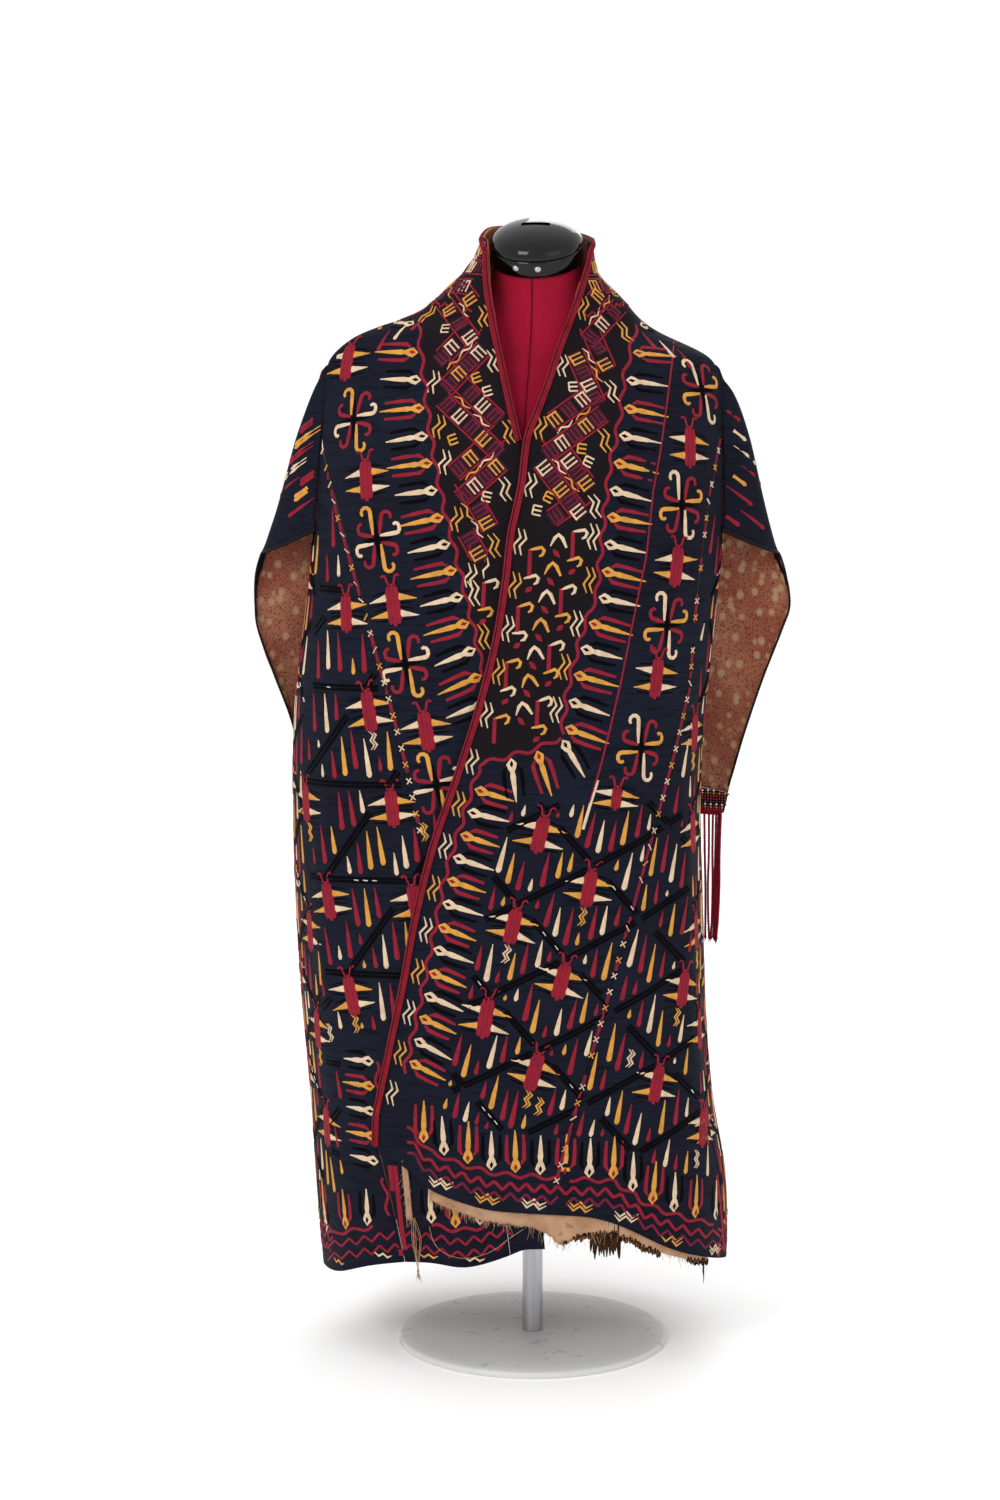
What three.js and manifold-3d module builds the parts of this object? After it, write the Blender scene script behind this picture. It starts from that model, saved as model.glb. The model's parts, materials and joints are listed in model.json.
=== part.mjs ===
// A lined, hand-embroidered mantle with open hanging sleeves, worn by a limbless dress form on a stand.
// Millimetres, +Z up. The front faces -Y, +X is the wearer's left, and the stand's base rests on z = 0.
// The body of the mantle is one sheet wound round the form: it starts at the front edge that lies on top,
// goes round by the wearer's left, the back and the wearer's right, and ends at the front edge underneath.
// A place on it is an angle in degrees (0 front, 90 left side, 180 back, 270 right side, 360 front again,
// one layer down) and a height.
import * as THREE from "three";
import Module from "manifold-3d";
import { mergeVertices } from "three/addons/utils/BufferGeometryUtils.js";

const wasm = await Module();
wasm.setup();

// ---- Driving dimensions ----
const CLOTH = 2; // wall of silk, stitching and lining together
const SLEEVE_CLOTH = 1.5;
const SEAM_GAP = 0.4; // between two pieces that are sewn together
const LAYER_DROP = 5.2; // how far the under front lies beneath the over front
const COLLAR_ZONE = 1300; // above this height rows follow the collar's top edge
const COLLAR_TOP = 1343;
const HEM_ZONE = 320; // below this height rows follow the hem
const HEM_ROW = 100; // nominal height of the last row, which is the hem itself
const ARMHOLE = { top: 1192, goreTop: 1095, bottom: 1000 };
const BRAID = { width: 8, thick: 1.6, clear: 0.8, inset: 0.3 };
const SLIT = { top: 238, half: 0.6 };
const FORM_TURN = 8; // degrees that the form is turned to the wearer's right
const FORM_SPLIT = 1.2; // between the form's two halves
const NECK = { x: 3, z: 1332, tilt: 20, radius: 55, bandHeight: 21, domeHeight: 26 };
const KEYWAY = { long: 34, wide: 9, deep: 5 };
const RIVET = { radius: 4.2, proud: 2, angles: [-20, 8] };
const POLE_RADIUS = 12.5;
const BASE = { radius: 165, thick: 9, bevel: 3 };
const BAND = { height: 26, thick: 3, gap: 0.5 };
const TASSEL = { strands: 10, head: 9, taper: 0.62, thick: 4.5 };
const FACING_LIES = { deep: 3, sunk: 2.2, thick: 1, above: 9 }; // under the cloth's face, and up from the hem
const TORN_STRIP = { angle: -31.5, halfAngle: 0.9, top: 262, middle: 222, bottom: 184 };

// ---- Tables: heights run down, and each column is read as a smooth curve ----

// The mantle's level sections: where its left and right sides are in X, how far it stands before and
// behind the form's axis, and how round it is (1 is a lozenge, 2 an ellipse, more is boxier).
const SECTIONS = [
  { z: 1370, right: -52, left: 58, front: 44, back: 78, round: 2.0 },
  { z: 1340, right: -63, left: 68, front: 48, back: 79, round: 2.0 },
  { z: 1318, right: -72, left: 71, front: 54, back: 80, round: 2.0 },
  { z: 1297, right: -88, left: 74, front: 60, back: 83, round: 2.0 },
  { z: 1280, right: -108, left: 93, front: 65, back: 86, round: 1.9 },
  { z: 1264, right: -124, left: 109, front: 70, back: 90, round: 1.7 },
  { z: 1248, right: -147, left: 121, front: 75, back: 94, round: 1.55 },
  { z: 1236, right: -194, left: 135, front: 79, back: 97, round: 1.42 },
  { z: 1224, right: -217, left: 156, front: 83, back: 100, round: 1.36 },
  { z: 1210, right: -234, left: 190, front: 88, back: 104, round: 1.38 },
  { z: 1195, right: -247, left: 215, front: 94, back: 108, round: 1.45 },
  { z: 1170, right: -252, left: 223, front: 103, back: 112, round: 1.65 },
  { z: 1119, right: -257, left: 226, front: 120, back: 117, round: 1.95 },
  { z: 1060, right: -262, left: 227, front: 131, back: 120, round: 2.1 },
  { z: 980, right: -267, left: 225, front: 137, back: 123, round: 2.2 },
  { z: 900, right: -274, left: 217, front: 142, back: 128, round: 2.2 },
  { z: 800, right: -289, left: 208, front: 146, back: 136, round: 2.25 },
  { z: 690, right: -293, left: 200, front: 148, back: 148, round: 2.3 },
  { z: 580, right: -290, left: 203, front: 149, back: 162, round: 2.3 },
  { z: 434, right: -282, left: 208, front: 149, back: 180, round: 2.3 },
  { z: 296, right: -270, left: 219, front: 148, back: 198, round: 2.3 },
  { z: 190, right: -264, left: 239, front: 147, back: 210, round: 2.3 },
  { z: 60, right: -254, left: 238, front: 146, back: 218, round: 2.3 },
];
const SIDE_Y = 5; // the sections are widest a little behind the axis

// The two front edges, as X on the front of the sections.
const OVER_EDGE = [
  { z: 1343, x: 66 },
  { z: 1312, x: 60 },
  { z: 1280, x: 50 },
  { z: 1241, x: 35 },
  { z: 1201, x: 20 },
  { z: 1156, x: 4 },
  { z: 1113, x: -13 },
  { z: 1059, x: -20 },
  { z: 1003, x: -32 },
  { z: 919, x: -42 },
  { z: 834, x: -60 },
  { z: 735, x: -90 },
  { z: 611, x: -129 },
  { z: 476, x: -155 },
  { z: 366, x: -179 },
  { z: 300, x: -191 },
  { z: 160, x: -194 },
  { z: 100, x: -188 },
];
const UNDER_EDGE = [
  { z: 1343, x: -60 },
  { z: 1312, x: -56 },
  { z: 1280, x: -52 },
  { z: 1235, x: -43 },
  { z: 1190, x: -33 },
  { z: 1150, x: -24 },
  { z: 1113, x: -15 },
  { z: 980, x: 2 },
  { z: 760, x: 30 },
  { z: 500, x: 45 },
  { z: 300, x: 30 },
  { z: 200, x: 10 },
  { z: 150, x: 14 },
];

// Seams between each front and its side gore, as X on the front of the sections.
const LEFT_SEAM = [
  { z: 1119, x: 226 },
  { z: 1095, x: 221 },
  { z: 1036, x: 204 },
  { z: 920, x: 191 },
  { z: 815, x: 183 },
  { z: 746, x: 167 },
  { z: 615, x: 131 },
  { z: 452, x: 86 },
  { z: 330, x: 51 },
  { z: 100, x: 19 },
];
const RIGHT_SEAM = [
  { z: 1119, x: -258 },
  { z: 1095, x: -254 },
  { z: 1023, x: -232 },
  { z: 926, x: -203 },
  { z: 808, x: -169 },
  { z: 739, x: -151 },
  { z: 645, x: -131 },
  { z: 500, x: -96 },
  { z: 320, x: -52 },
  { z: 100, x: -22 },
];

// Angles of the armholes' edges, of the seams between gores and back, and of the slits in the gores. Below
// the armholes the first two only guide the columns of the wall.
const LEFT_ANGLES = [
  { z: 1192, armFront: 88.5, armBack: 91.5, backSeam: 91.5, slit: 84 },
  { z: 1150, armFront: 83, armBack: 99, backSeam: 99, slit: 85 },
  { z: 1095, armFront: 79.5, armBack: 104, backSeam: 105.5, slit: 86 },
  { z: 1000, armFront: 77, armBack: 109, backSeam: 113, slit: 87 },
  { z: 700, armFront: 70, armBack: 110, backSeam: 121, slit: 80 },
  { z: 320, armFront: 52, armBack: 106, backSeam: 128, slit: 67 },
  { z: 220, armFront: 50, armBack: 106, backSeam: 130, slit: 69 },
  { z: 100, armFront: 50, armBack: 106, backSeam: 131, slit: 76 },
];
const RIGHT_ANGLES = [
  { z: 1192, armFront: 271.5, armBack: 268.5, backSeam: 268.5, slit: 270 },
  { z: 1150, armFront: 277, armBack: 261, backSeam: 261, slit: 270 },
  { z: 1095, armFront: 280.5, armBack: 256, backSeam: 254.5, slit: 270 },
  { z: 1000, armFront: 283, armBack: 251, backSeam: 248, slit: 272 },
  { z: 700, armFront: 300, armBack: 258, backSeam: 247, slit: 286 },
  { z: 320, armFront: 334, armBack: 276, backSeam: 258, slit: 317 },
  { z: 220, armFront: 338, armBack: 280, backSeam: 260, slit: 322 },
  { z: 100, armFront: 341, armBack: 282, backSeam: 262, slit: 326 },
];

// The hem's height and the collar's top along the sheet. The over front's corner is drawn up and torn.
const HEM = [
  { angle: -50, z: 290 },
  { angle: -44, z: 284 },
  { angle: -38.7, z: 263 },
  { angle: -32, z: 254 },
  { angle: -25.8, z: 226 },
  { angle: -18.4, z: 214 },
  { angle: -7.6, z: 201 },
  { angle: 10, z: 195 },
  { angle: 24, z: 190 },
  { angle: 28.6, z: 177 },
  { angle: 34.7, z: 157 },
  { angle: 46, z: 138 },
  { angle: 68, z: 115 },
  { angle: 90, z: 104 },
  { angle: 180, z: 98 },
  { angle: 270, z: 94 },
  { angle: 291, z: 93 },
  { angle: 301, z: 105 },
  { angle: 319, z: 126 },
  { angle: 335, z: 133 },
  { angle: 342, z: 129 },
  { angle: 353.6, z: 141 },
  { angle: 361, z: 152 },
  { angle: 400, z: 153 },
];
const COLLAR = [
  { angle: 60, z: 1335 },
  { angle: 90, z: 1337 },
  { angle: 125, z: 1343 },
  { angle: 180, z: 1353 },
  { angle: 235, z: 1351 },
  { angle: 270, z: 1342 },
  { angle: 300, z: 1338 },
];

// Soft folds: where each crest is, how far it spreads, how far it stands out at the hem, and its upper end.
const FOLDS = [
  { angle: 112, spread: 17, depth: 9, top: 720 },
  { angle: 144, spread: 16, depth: 13, top: 900 },
  { angle: 176, spread: 17, depth: 16, top: 960 },
  { angle: 209, spread: 16, depth: 12, top: 860 },
  { angle: 240, spread: 15, depth: 14, top: 780 },
  { angle: 268, spread: 13, depth: 6, top: 560 },
  { angle: 47, spread: 18, depth: 7, top: 520 },
  { angle: 345, spread: 20, depth: 5, top: 430 },
];

// Each sleeve's outer fold above its mouth, which goes on as the free outer edge of its tail, and the
// inner edge: its angle on the body and how far it stands off. cup is half the depth of the tail's curl.
const SLEEVE_LEFT = [
  { z: 1190, outX: 223, outY: 4, innerAngle: 91.8, off: 0.6, cup: 16 },
  { z: 1176, outX: 232, outY: 5, innerAngle: 94.2, off: 0.6, cup: 16 },
  { z: 1158, outX: 241, outY: 6, innerAngle: 97.7, off: 0.6, cup: 16 },
  { z: 1127, outX: 251, outY: 8, innerAngle: 101, off: 0.6, cup: 16 },
  { z: 1095, outX: 260, outY: 10, innerAngle: 104, off: 0.6, cup: 16 },
  { z: 1051, outX: 270, outY: 13, innerAngle: 106.6, off: 0.6, cup: 16 },
  { z: 1000, outX: 283, outY: 18, innerAngle: 109, off: 0.6, cup: 26 },
  { z: 949, outX: 299, outY: 26, innerAngle: 110, off: 5, cup: 22 },
  { z: 915, outX: 310, outY: 32, innerAngle: 111, off: 7, cup: 18 },
  { z: 887, outX: 306, outY: 37, innerAngle: 112, off: 8, cup: 16 },
  { z: 844, outX: 290, outY: 42, innerAngle: 113, off: 8, cup: 14 },
  { z: 774, outX: 266, outY: 50, innerAngle: 116, off: 8, cup: 11 },
  { z: 713, outX: 248, outY: 56, innerAngle: 118, off: 8, cup: 8 },
  { z: 640, outX: 232, outY: 61, innerAngle: 119, off: 8, cup: 5 },
];
const SLEEVE_RIGHT = [
  { z: 1190, outX: -255, outY: 4, innerAngle: 268.2, off: 0.6, cup: 16 },
  { z: 1176, outX: -260, outY: 5, innerAngle: 265.8, off: 0.6, cup: 16 },
  { z: 1141, outX: -271, outY: 7, innerAngle: 260.2, off: 0.6, cup: 16 },
  { z: 1094, outX: -286, outY: 10, innerAngle: 256, off: 0.6, cup: 16 },
  { z: 1045, outX: -299, outY: 13, innerAngle: 253, off: 0.6, cup: 16 },
  { z: 1000, outX: -313, outY: 18, innerAngle: 251, off: 0.6, cup: 26 },
  { z: 964, outX: -326, outY: 24, innerAngle: 250, off: 4, cup: 22 },
  { z: 920, outX: -336, outY: 32, innerAngle: 248, off: 7, cup: 18 },
  { z: 855, outX: -329, outY: 42, innerAngle: 244, off: 8, cup: 14 },
  { z: 787, outX: -302, outY: 52, innerAngle: 237, off: 8, cup: 11 },
  { z: 733, outX: -288, outY: 66, innerAngle: 230, off: 8, cup: 8 },
  { z: 640, outX: -268, outY: 100, innerAngle: 224, off: 8, cup: 5 },
];
const SLEEVE_SAG = [
  { row: 1190, sag: 0 },
  { row: 1000, sag: 33 },
  { row: 674, sag: 8 },
  { row: 480, sag: 0 },
];

// The loose facing under the hem of the over front: how far its ragged edge hangs below that hem.
const FACING = [
  { angle: -25, hang: 13 },
  { angle: -19, hang: 15 },
  { angle: -15, hang: 13 },
  { angle: -11, hang: 16 },
  { angle: -7, hang: 14 },
  { angle: -3, hang: 17 },
  { angle: 3, hang: 16 },
  { angle: 8, hang: 30 },
  { angle: 10, hang: 38 },
  { angle: 13, hang: 29 },
  { angle: 17, hang: 24 },
  { angle: 20, hang: 21 },
  { angle: 25, hang: 18 },
  { angle: 29, hang: 13 },
  { angle: 33, hang: 11 },
  { angle: 37, hang: 8 },
  { angle: 46, hang: 8 },
  { angle: 54, hang: 6 },
  { angle: 60, hang: 5 },
];

// The dress form's level sections. The neck leans forward by tilt degrees about a line through y.
const FORM = [
  { z: 660, half: 150, front: 96, back: 106, round: 2.2, tilt: 0, y: 0 },
  { z: 735, half: 162, front: 106, back: 118, round: 2.2, tilt: 0, y: 0 },
  { z: 810, half: 152, front: 96, back: 108, round: 2.2, tilt: 0, y: 0 },
  { z: 870, half: 130, front: 86, back: 92, round: 2.2, tilt: 0, y: 0 },
  { z: 925, half: 118, front: 84, back: 82, round: 2.2, tilt: 0, y: 0 },
  { z: 990, half: 126, front: 97, back: 86, round: 2.2, tilt: 0, y: 0 },
  { z: 1040, half: 138, front: 110, back: 92, round: 2.2, tilt: 0, y: 0 },
  { z: 1085, half: 148, front: 114, back: 97, round: 2.2, tilt: 0, y: 0 },
  { z: 1130, half: 158, front: 102, back: 98, round: 2.0, tilt: 0, y: 0 },
  { z: 1165, half: 166, front: 84, back: 94, round: 1.75, tilt: 0, y: 0 },
  { z: 1188, half: 166, front: 70, back: 86, round: 1.6, tilt: 1, y: 0 },
  { z: 1208, half: 150, front: 61, back: 78, round: 1.5, tilt: 3, y: 1 },
  { z: 1224, half: 128, front: 57, back: 72, round: 1.5, tilt: 5, y: 3 },
  { z: 1240, half: 100, front: 54, back: 66, round: 1.6, tilt: 9, y: 5 },
  { z: 1256, half: 76, front: 52, back: 60, round: 1.8, tilt: 12, y: 7 },
  { z: 1273, half: 61, front: 51, back: 55, round: 2, tilt: 15, y: 8.5 },
  { z: 1292, half: 54, front: 51, back: 52, round: 2, tilt: 18, y: 9 },
  { z: 1311.9, half: 52, front: 52, back: 52, round: 2, tilt: 20, y: 7.3 },
];

// ---- Reading tables ----

// One named column of a table as a smooth curve that never overshoots its rows.
function curveOf(rows, name, by = "z") {
  const sorted = [...rows].sort((a, b) => a[by] - b[by]);
  const at = sorted.map((r) => r[by]);
  const value = sorted.map((r) => r[name]);
  const step = at.slice(1).map((a, i) => (value[i + 1] - value[i]) / (a - at[i]));
  const slope = value.map((_, i) => {
    if (i === 0) return step[0];
    if (i === value.length - 1) return step[i - 1];
    if (step[i - 1] * step[i] <= 0) return 0;
    return (2 * step[i - 1] * step[i]) / (step[i - 1] + step[i]);
  });
  return (x) => {
    if (x <= at[0]) return value[0];
    if (x >= at[at.length - 1]) return value[at.length - 1];
    let i = 0;
    while (x > at[i + 1]) i++;
    const wide = at[i + 1] - at[i];
    const t = (x - at[i]) / wide;
    const s = t * t * (3 - 2 * t);
    return (
      value[i] * (1 - s) + value[i + 1] * s +
      wide * (slope[i] * t * (1 - t) ** 2 - slope[i + 1] * t * t * (1 - t))
    );
  };
}

const rad = THREE.MathUtils.degToRad;
const smooth = (x, from, to) => THREE.MathUtils.smoothstep(x, from, to);

// ---- The mantle's surface ----

const section = {
  left: curveOf(SECTIONS, "left"),
  right: curveOf(SECTIONS, "right"),
  front: curveOf(SECTIONS, "front"),
  back: curveOf(SECTIONS, "back"),
  round: curveOf(SECTIONS, "round"),
};
const hemAt = curveOf(HEM, "z", "angle");
const collarAt = curveOf(COLLAR, "z", "angle");

// A row's real height: rows near the collar and the hem follow those edges.
function rowHeight(angle, row) {
  if (row > COLLAR_ZONE) {
    const share = (row - COLLAR_ZONE) / (COLLAR_TOP - COLLAR_ZONE);
    return COLLAR_ZONE + share * (collarAt(angle) - COLLAR_ZONE);
  }
  if (row < HEM_ZONE) {
    const share = (HEM_ZONE - row) / (HEM_ZONE - HEM_ROW);
    return HEM_ZONE - share * (HEM_ZONE - hemAt(angle));
  }
  return row;
}

function foldAt(angle, z) {
  let out = 0;
  for (const fold of FOLDS) {
    const away = Math.abs(((angle - fold.angle + 540) % 360) - 180);
    if (away >= fold.spread) continue;
    const crest = 0.5 + 0.5 * Math.cos((Math.PI * away) / fold.spread);
    out += fold.depth * crest * (1 - smooth(z, HEM_ROW, fold.top));
  }
  return out;
}

function ringPoint(angle, z) {
  const n = section.round(z);
  const s = Math.sin(rad(angle));
  const c = Math.cos(rad(angle));
  const reach = (Math.abs(s) ** n + Math.abs(c) ** n) ** (-1 / n);
  const half = (section.left(z) - section.right(z)) / 2;
  const depth = c > 0 ? section.front(z) + SIDE_Y : section.back(z) - SIDE_Y;
  const x = (section.left(z) + section.right(z)) / 2 + half * s * reach;
  return new THREE.Vector3(x, SIDE_Y - depth * c * reach, z);
}

// The angle at which the front of the section at height z has this X.
function frontAngle(x, z) {
  const n = section.round(z);
  const half = (section.left(z) - section.right(z)) / 2;
  const t = THREE.MathUtils.clamp((x - (section.left(z) + section.right(z)) / 2) / half, -0.999, 0.999);
  return THREE.MathUtils.radToDeg(Math.atan2(t, (1 - Math.abs(t) ** n) ** (1 / n)));
}

function directions(angle, z) {
  const along = ringPoint(angle + 0.5, z).sub(ringPoint(angle - 0.5, z));
  const up = ringPoint(angle, z + 2).sub(ringPoint(angle, z - 2)).divideScalar(4);
  const normal = new THREE.Vector3().crossVectors(along, up).normalize();
  return { along, normal };
}

// The point of the cloth's outer face, moved out by a distance. The under front lies one layer down.
function onCloth(angle, z, out = 0) {
  const drop = LAYER_DROP * smooth(angle, 235, 300);
  const { normal } = directions(angle, z);
  return ringPoint(angle, z).addScaledVector(normal, out + foldAt(angle, z) - drop);
}

// ---- Walls from grids of points ----

function geometryOf(corners, faces) {
  const position = new Float32Array(faces.flat().flatMap((i) => corners[i].toArray()));
  const geometry = new THREE.BufferGeometry();
  geometry.setAttribute("position", new THREE.BufferAttribute(position, 3));
  return geometry;
}

// A closed wall between two grids of points, outer[j][i] and inner[j][i]. Cells that keep() refuses are left
// out, and every free side of a cell gets a rim.
function wallOf(outer, inner, keep = () => true) {
  const rows = outer.length;
  const wide = outer[0].length;
  const corners = [...outer.flat(), ...inner.flat()];
  const at = (j, i) => j * wide + i;
  const inside = (j, i) => at(j, i) + rows * wide;
  const kept = (j, i) => j >= 0 && i >= 0 && j < rows - 1 && i < wide - 1 && keep(j, i);
  const faces = [];
  const quad = (a, b, c, d) => faces.push([a, b, c], [a, c, d]);
  for (let j = 0; j < rows - 1; j++)
    for (let i = 0; i < wide - 1; i++) {
      if (!kept(j, i)) continue;
      quad(at(j, i), at(j + 1, i), at(j + 1, i + 1), at(j, i + 1));
      quad(inside(j, i), inside(j, i + 1), inside(j + 1, i + 1), inside(j + 1, i));
      if (!kept(j - 1, i)) quad(at(j, i), at(j, i + 1), inside(j, i + 1), inside(j, i));
      if (!kept(j + 1, i)) quad(at(j + 1, i + 1), at(j + 1, i), inside(j + 1, i), inside(j + 1, i + 1));
      if (!kept(j, i - 1)) quad(at(j + 1, i), at(j, i), inside(j, i), inside(j + 1, i));
      if (!kept(j, i + 1)) quad(at(j, i + 1), at(j + 1, i + 1), inside(j + 1, i + 1), inside(j, i + 1));
    }
  return geometryOf(corners, faces);
}

// Angles for a panel's columns: guides are angle curves, and shares are how many columns lie between them.
function columnAngles(guides, shares, row) {
  const angles = [guides[0](row)];
  shares.forEach((count, k) => {
    const from = guides[k](row);
    const to = guides[k + 1](row);
    for (let i = 1; i <= count; i++) angles.push(from + ((to - from) * i) / count);
  });
  return angles;
}

// A panel of the body: its first and last columns stand back from the seam by half the gap.
function bodyPanel(guides, shares, rows, keep) {
  const grid = (out) =>
    rows.map((row) => {
      const angles = columnAngles(guides, shares, row);
      return angles.map((angle, i) => {
        const z = rowHeight(angle, row);
        const point = onCloth(angle, z, out);
        const along = directions(angle, z).along.normalize();
        if (i === 0) point.addScaledVector(along, SEAM_GAP / 2);
        if (i === angles.length - 1) point.addScaledVector(along, -SEAM_GAP / 2);
        return point;
      });
    });
  return wallOf(grid(0), grid(-CLOTH), keep);
}

// ---- Seam and edge lines as angles ----

const seamAngle = (rows, turn = 0) => {
  const x = curveOf(rows, "x");
  return (row) => {
    let angle = turn;
    for (let pass = 0; pass < 6; pass++) {
      const z = rowHeight(angle, row);
      angle = turn + frontAngle(x(z), z);
    }
    return angle;
  };
};
const overEdge = seamAngle(OVER_EDGE);
const underEdge = seamAngle(UNDER_EDGE, 360);
const leftSeam = seamAngle(LEFT_SEAM);
const rightSeam = seamAngle(RIGHT_SEAM, 360);
const sideCurves = (rows) => ({
  armFront: curveOf(rows, "armFront"),
  armBack: curveOf(rows, "armBack"),
  backSeam: curveOf(rows, "backSeam"),
  slit: curveOf(rows, "slit"),
});
const leftSide = sideCurves(LEFT_ANGLES);
const rightSide = sideCurves(RIGHT_ANGLES);

// Above the armhole the shoulder seam bounds a panel, beside it the armhole, and below it the gore.
const boundary = (shoulder, arm, seam) => (row) => {
  if (row > ARMHOLE.top + 1) return shoulder;
  return row > ARMHOLE.goreTop + 1 ? arm(row) : seam(row);
};

const SHOULDER_ROWS = [1343, 1328, 1312, 1296, 1280, 1266, 1252, 1240, 1228, 1216, 1204, 1192];
const ARM_ROWS = [1170, 1145, 1119, 1095, 1063, 1031, 1000];
const BODY_ROWS = [945, 880, 805, 730, 645, 560, 475, 395, 320, 265, 210, 155, 100];
const PANEL_ROWS = [...SHOULDER_ROWS, ...ARM_ROWS, ...BODY_ROWS];
const GORE_ROWS = PANEL_ROWS.filter((row) => row <= ARMHOLE.goreTop);

// ---- Colours ----
const finish = (color, roughness, metalness = 0) =>
  new THREE.MeshStandardMaterial({ color, roughness, metalness });
const SILK = finish(0x1c2436, 0.7);
const LINING = finish(0xb08a66, 0.9);
const RED_BRAID = finish(0x8f2233, 0.75);
const BEADWORK = finish(0x5a1d22, 0.5);
const TASSEL_SILK = finish(0x9c2238, 0.6);
const JERSEY = finish(0xb0102f, 0.85);
const BLACK_PLASTIC = finish(0x17171a, 0.25);
const STEEL = finish(0xc9cccf, 0.3, 0.9);
const BASE_PAINT = finish(0xc9c9c6, 0.45);

const mantle = new THREE.Group();
function add(name, geometry, material, parent = mantle) {
  const mesh = new THREE.Mesh(geometry, material);
  mesh.name = name;
  parent.add(mesh);
  return mesh;
}

// ---- Body panels ----

const FRONT_COLUMNS = 10;
const leftFrontSeam = boundary(90, leftSide.armFront, leftSeam);
const rightFrontSeam = boundary(270, rightSide.armFront, rightSeam);
add("front_left", bodyPanel([overEdge, leftFrontSeam], [FRONT_COLUMNS], PANEL_ROWS), SILK);
add("front_right", bodyPanel([rightFrontSeam, underEdge], [FRONT_COLUMNS], PANEL_ROWS), SILK);

// The back is two loom widths, joined by a seam down its middle.
const BACK_COLUMNS = 10;
const centreBackSeam = () => 180;
const leftBackSeam = boundary(90, leftSide.armBack, leftSide.backSeam);
const rightBackSeam = boundary(270, rightSide.armBack, rightSide.backSeam);
add("back_left", bodyPanel([leftBackSeam, centreBackSeam], [BACK_COLUMNS], PANEL_ROWS), SILK);
add("back_right", bodyPanel([centreBackSeam, rightBackSeam], [BACK_COLUMNS], PANEL_ROWS), SILK);

// A gore has a horn up each side of the armhole and a slit at its hem. Its columns run from the front seam
// to the back seam on the left, and from the back seam to the front seam on the right.
function gore(name, frontSeam, side, toBack) {
  const slitEdge = (sign) => (row) => {
    const angle = side.slit(row);
    return angle + (sign * toBack * SLIT.half) / directions(angle, rowHeight(angle, row)).along.length();
  };
  const guides = [frontSeam, side.armFront, slitEdge(-1), slitEdge(1), side.armBack, side.backSeam];
  const shares = [4, 3, 1, 3, 2];
  if (toBack < 0) {
    guides.reverse();
    shares.reverse();
  }
  const before = shares[0];
  const slitColumn = before + 3;
  const armColumns = { first: before, last: before + 6 };
  const keep = (j, i) => {
    const inArmhole = GORE_ROWS[j] > ARMHOLE.bottom && i >= armColumns.first && i <= armColumns.last;
    const inSlit = GORE_ROWS[j + 1] < SLIT.top && i === slitColumn;
    return !inArmhole && !inSlit;
  };
  add(name, bodyPanel(guides, shares, GORE_ROWS, keep), SILK);
}
gore("gore_left", leftSeam, leftSide, 1);
gore("gore_right", rightSeam, rightSide, -1);

// ---- Sleeves ----

const SLEEVE_ROWS = [1190, 1178, 1165, 1148, 1126, 1100, 1072, 1043, 1018, 1000];
const TAIL_ROWS = [982, 962, 940, 916, 890, 855, 812, 765, 718, 676];
const ARM_STANDOFF = 0.5; // from the body cloth to the front edge of a sleeve
const ARM_INSET = 0.6; // degrees that a sleeve's edge stands inside its armhole
const sagAt = curveOf(SLEEVE_SAG, "sag", "row");

// A sleeve is a flat tube from the armhole to its mouth. Below the mouth only its back half goes on, as a
// tail. across runs from 0 at the armhole's front edge by 0.5 at the outer fold to 1 at the back edge.
function sleeveSurface(rows, side, toBack) {
  const at = Object.fromEntries(
    ["outX", "outY", "innerAngle", "off", "cup"].map((name) => [name, curveOf(rows, name)]),
  );
  return (across, row, out = 0) => {
    const turn = Math.PI * across;
    const z = row - sagAt(row) * Math.sin(turn);
    const fold = new THREE.Vector3(at.outX(z), at.outY(z), z);
    const inset = ARM_INSET * toBack;
    const backCorner = onCloth(at.innerAngle(row) - inset, row, at.off(row)).setZ(z);
    const frontCorner = onCloth(side.armFront(row) + inset, row, ARM_STANDOFF).setZ(z);
    const half = backCorner.clone().sub(frontCorner).divideScalar(2);
    const curl = new THREE.Vector3(0, at.cup(row), 0);
    half.lerp(curl, 1 - smooth(row, 940, ARMHOLE.bottom));
    const middle = backCorner.clone().sub(half);
    const reach = fold.clone().sub(middle);
    return middle
      .clone()
      .addScaledVector(half, -Math.cos(turn) * (1 + out / Math.max(half.length(), 1)))
      .addScaledVector(reach, Math.sin(turn) * (1 + out / Math.max(reach.length(), 1)));
  };
}

const HALF_COLUMNS = 5;
function sleeve(name, rows, side, toBack) {
  const surface = sleeveSurface(rows, side, toBack);
  const levels = [...SLEEVE_ROWS, ...TAIL_ROWS];
  const grid = (out) =>
    levels.map((row) => {
      const points = [];
      for (let i = 0; i <= 2 * HALF_COLUMNS; i++) points.push(surface(i / (2 * HALF_COLUMNS), row, out));
      return toBack > 0 ? points : points.reverse();
    });
  const keep = (j, i) => {
    const column = toBack > 0 ? i : 2 * HALF_COLUMNS - 1 - i;
    return levels[j] > ARMHOLE.bottom || column >= HALF_COLUMNS;
  };
  add(name, wallOf(grid(0), grid(-SLEEVE_CLOTH), keep), SILK);
  return surface;
}
const leftSleeve = sleeve("sleeve_left", SLEEVE_LEFT, leftSide, 1);
const rightSleeve = sleeve("sleeve_right", SLEEVE_RIGHT, rightSide, -1);

// ---- Braids along the front edges and round the neck ----

// A strip on the cloth between two lines of places, given as pairs of one place on each line.
const stripOn = (pairs, from, to) => {
  const grid = (out) => pairs.map((pair) => pair.map(({ angle, z }) => onCloth(angle, z, out)));
  return wallOf(grid(to), grid(from));
};

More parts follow.
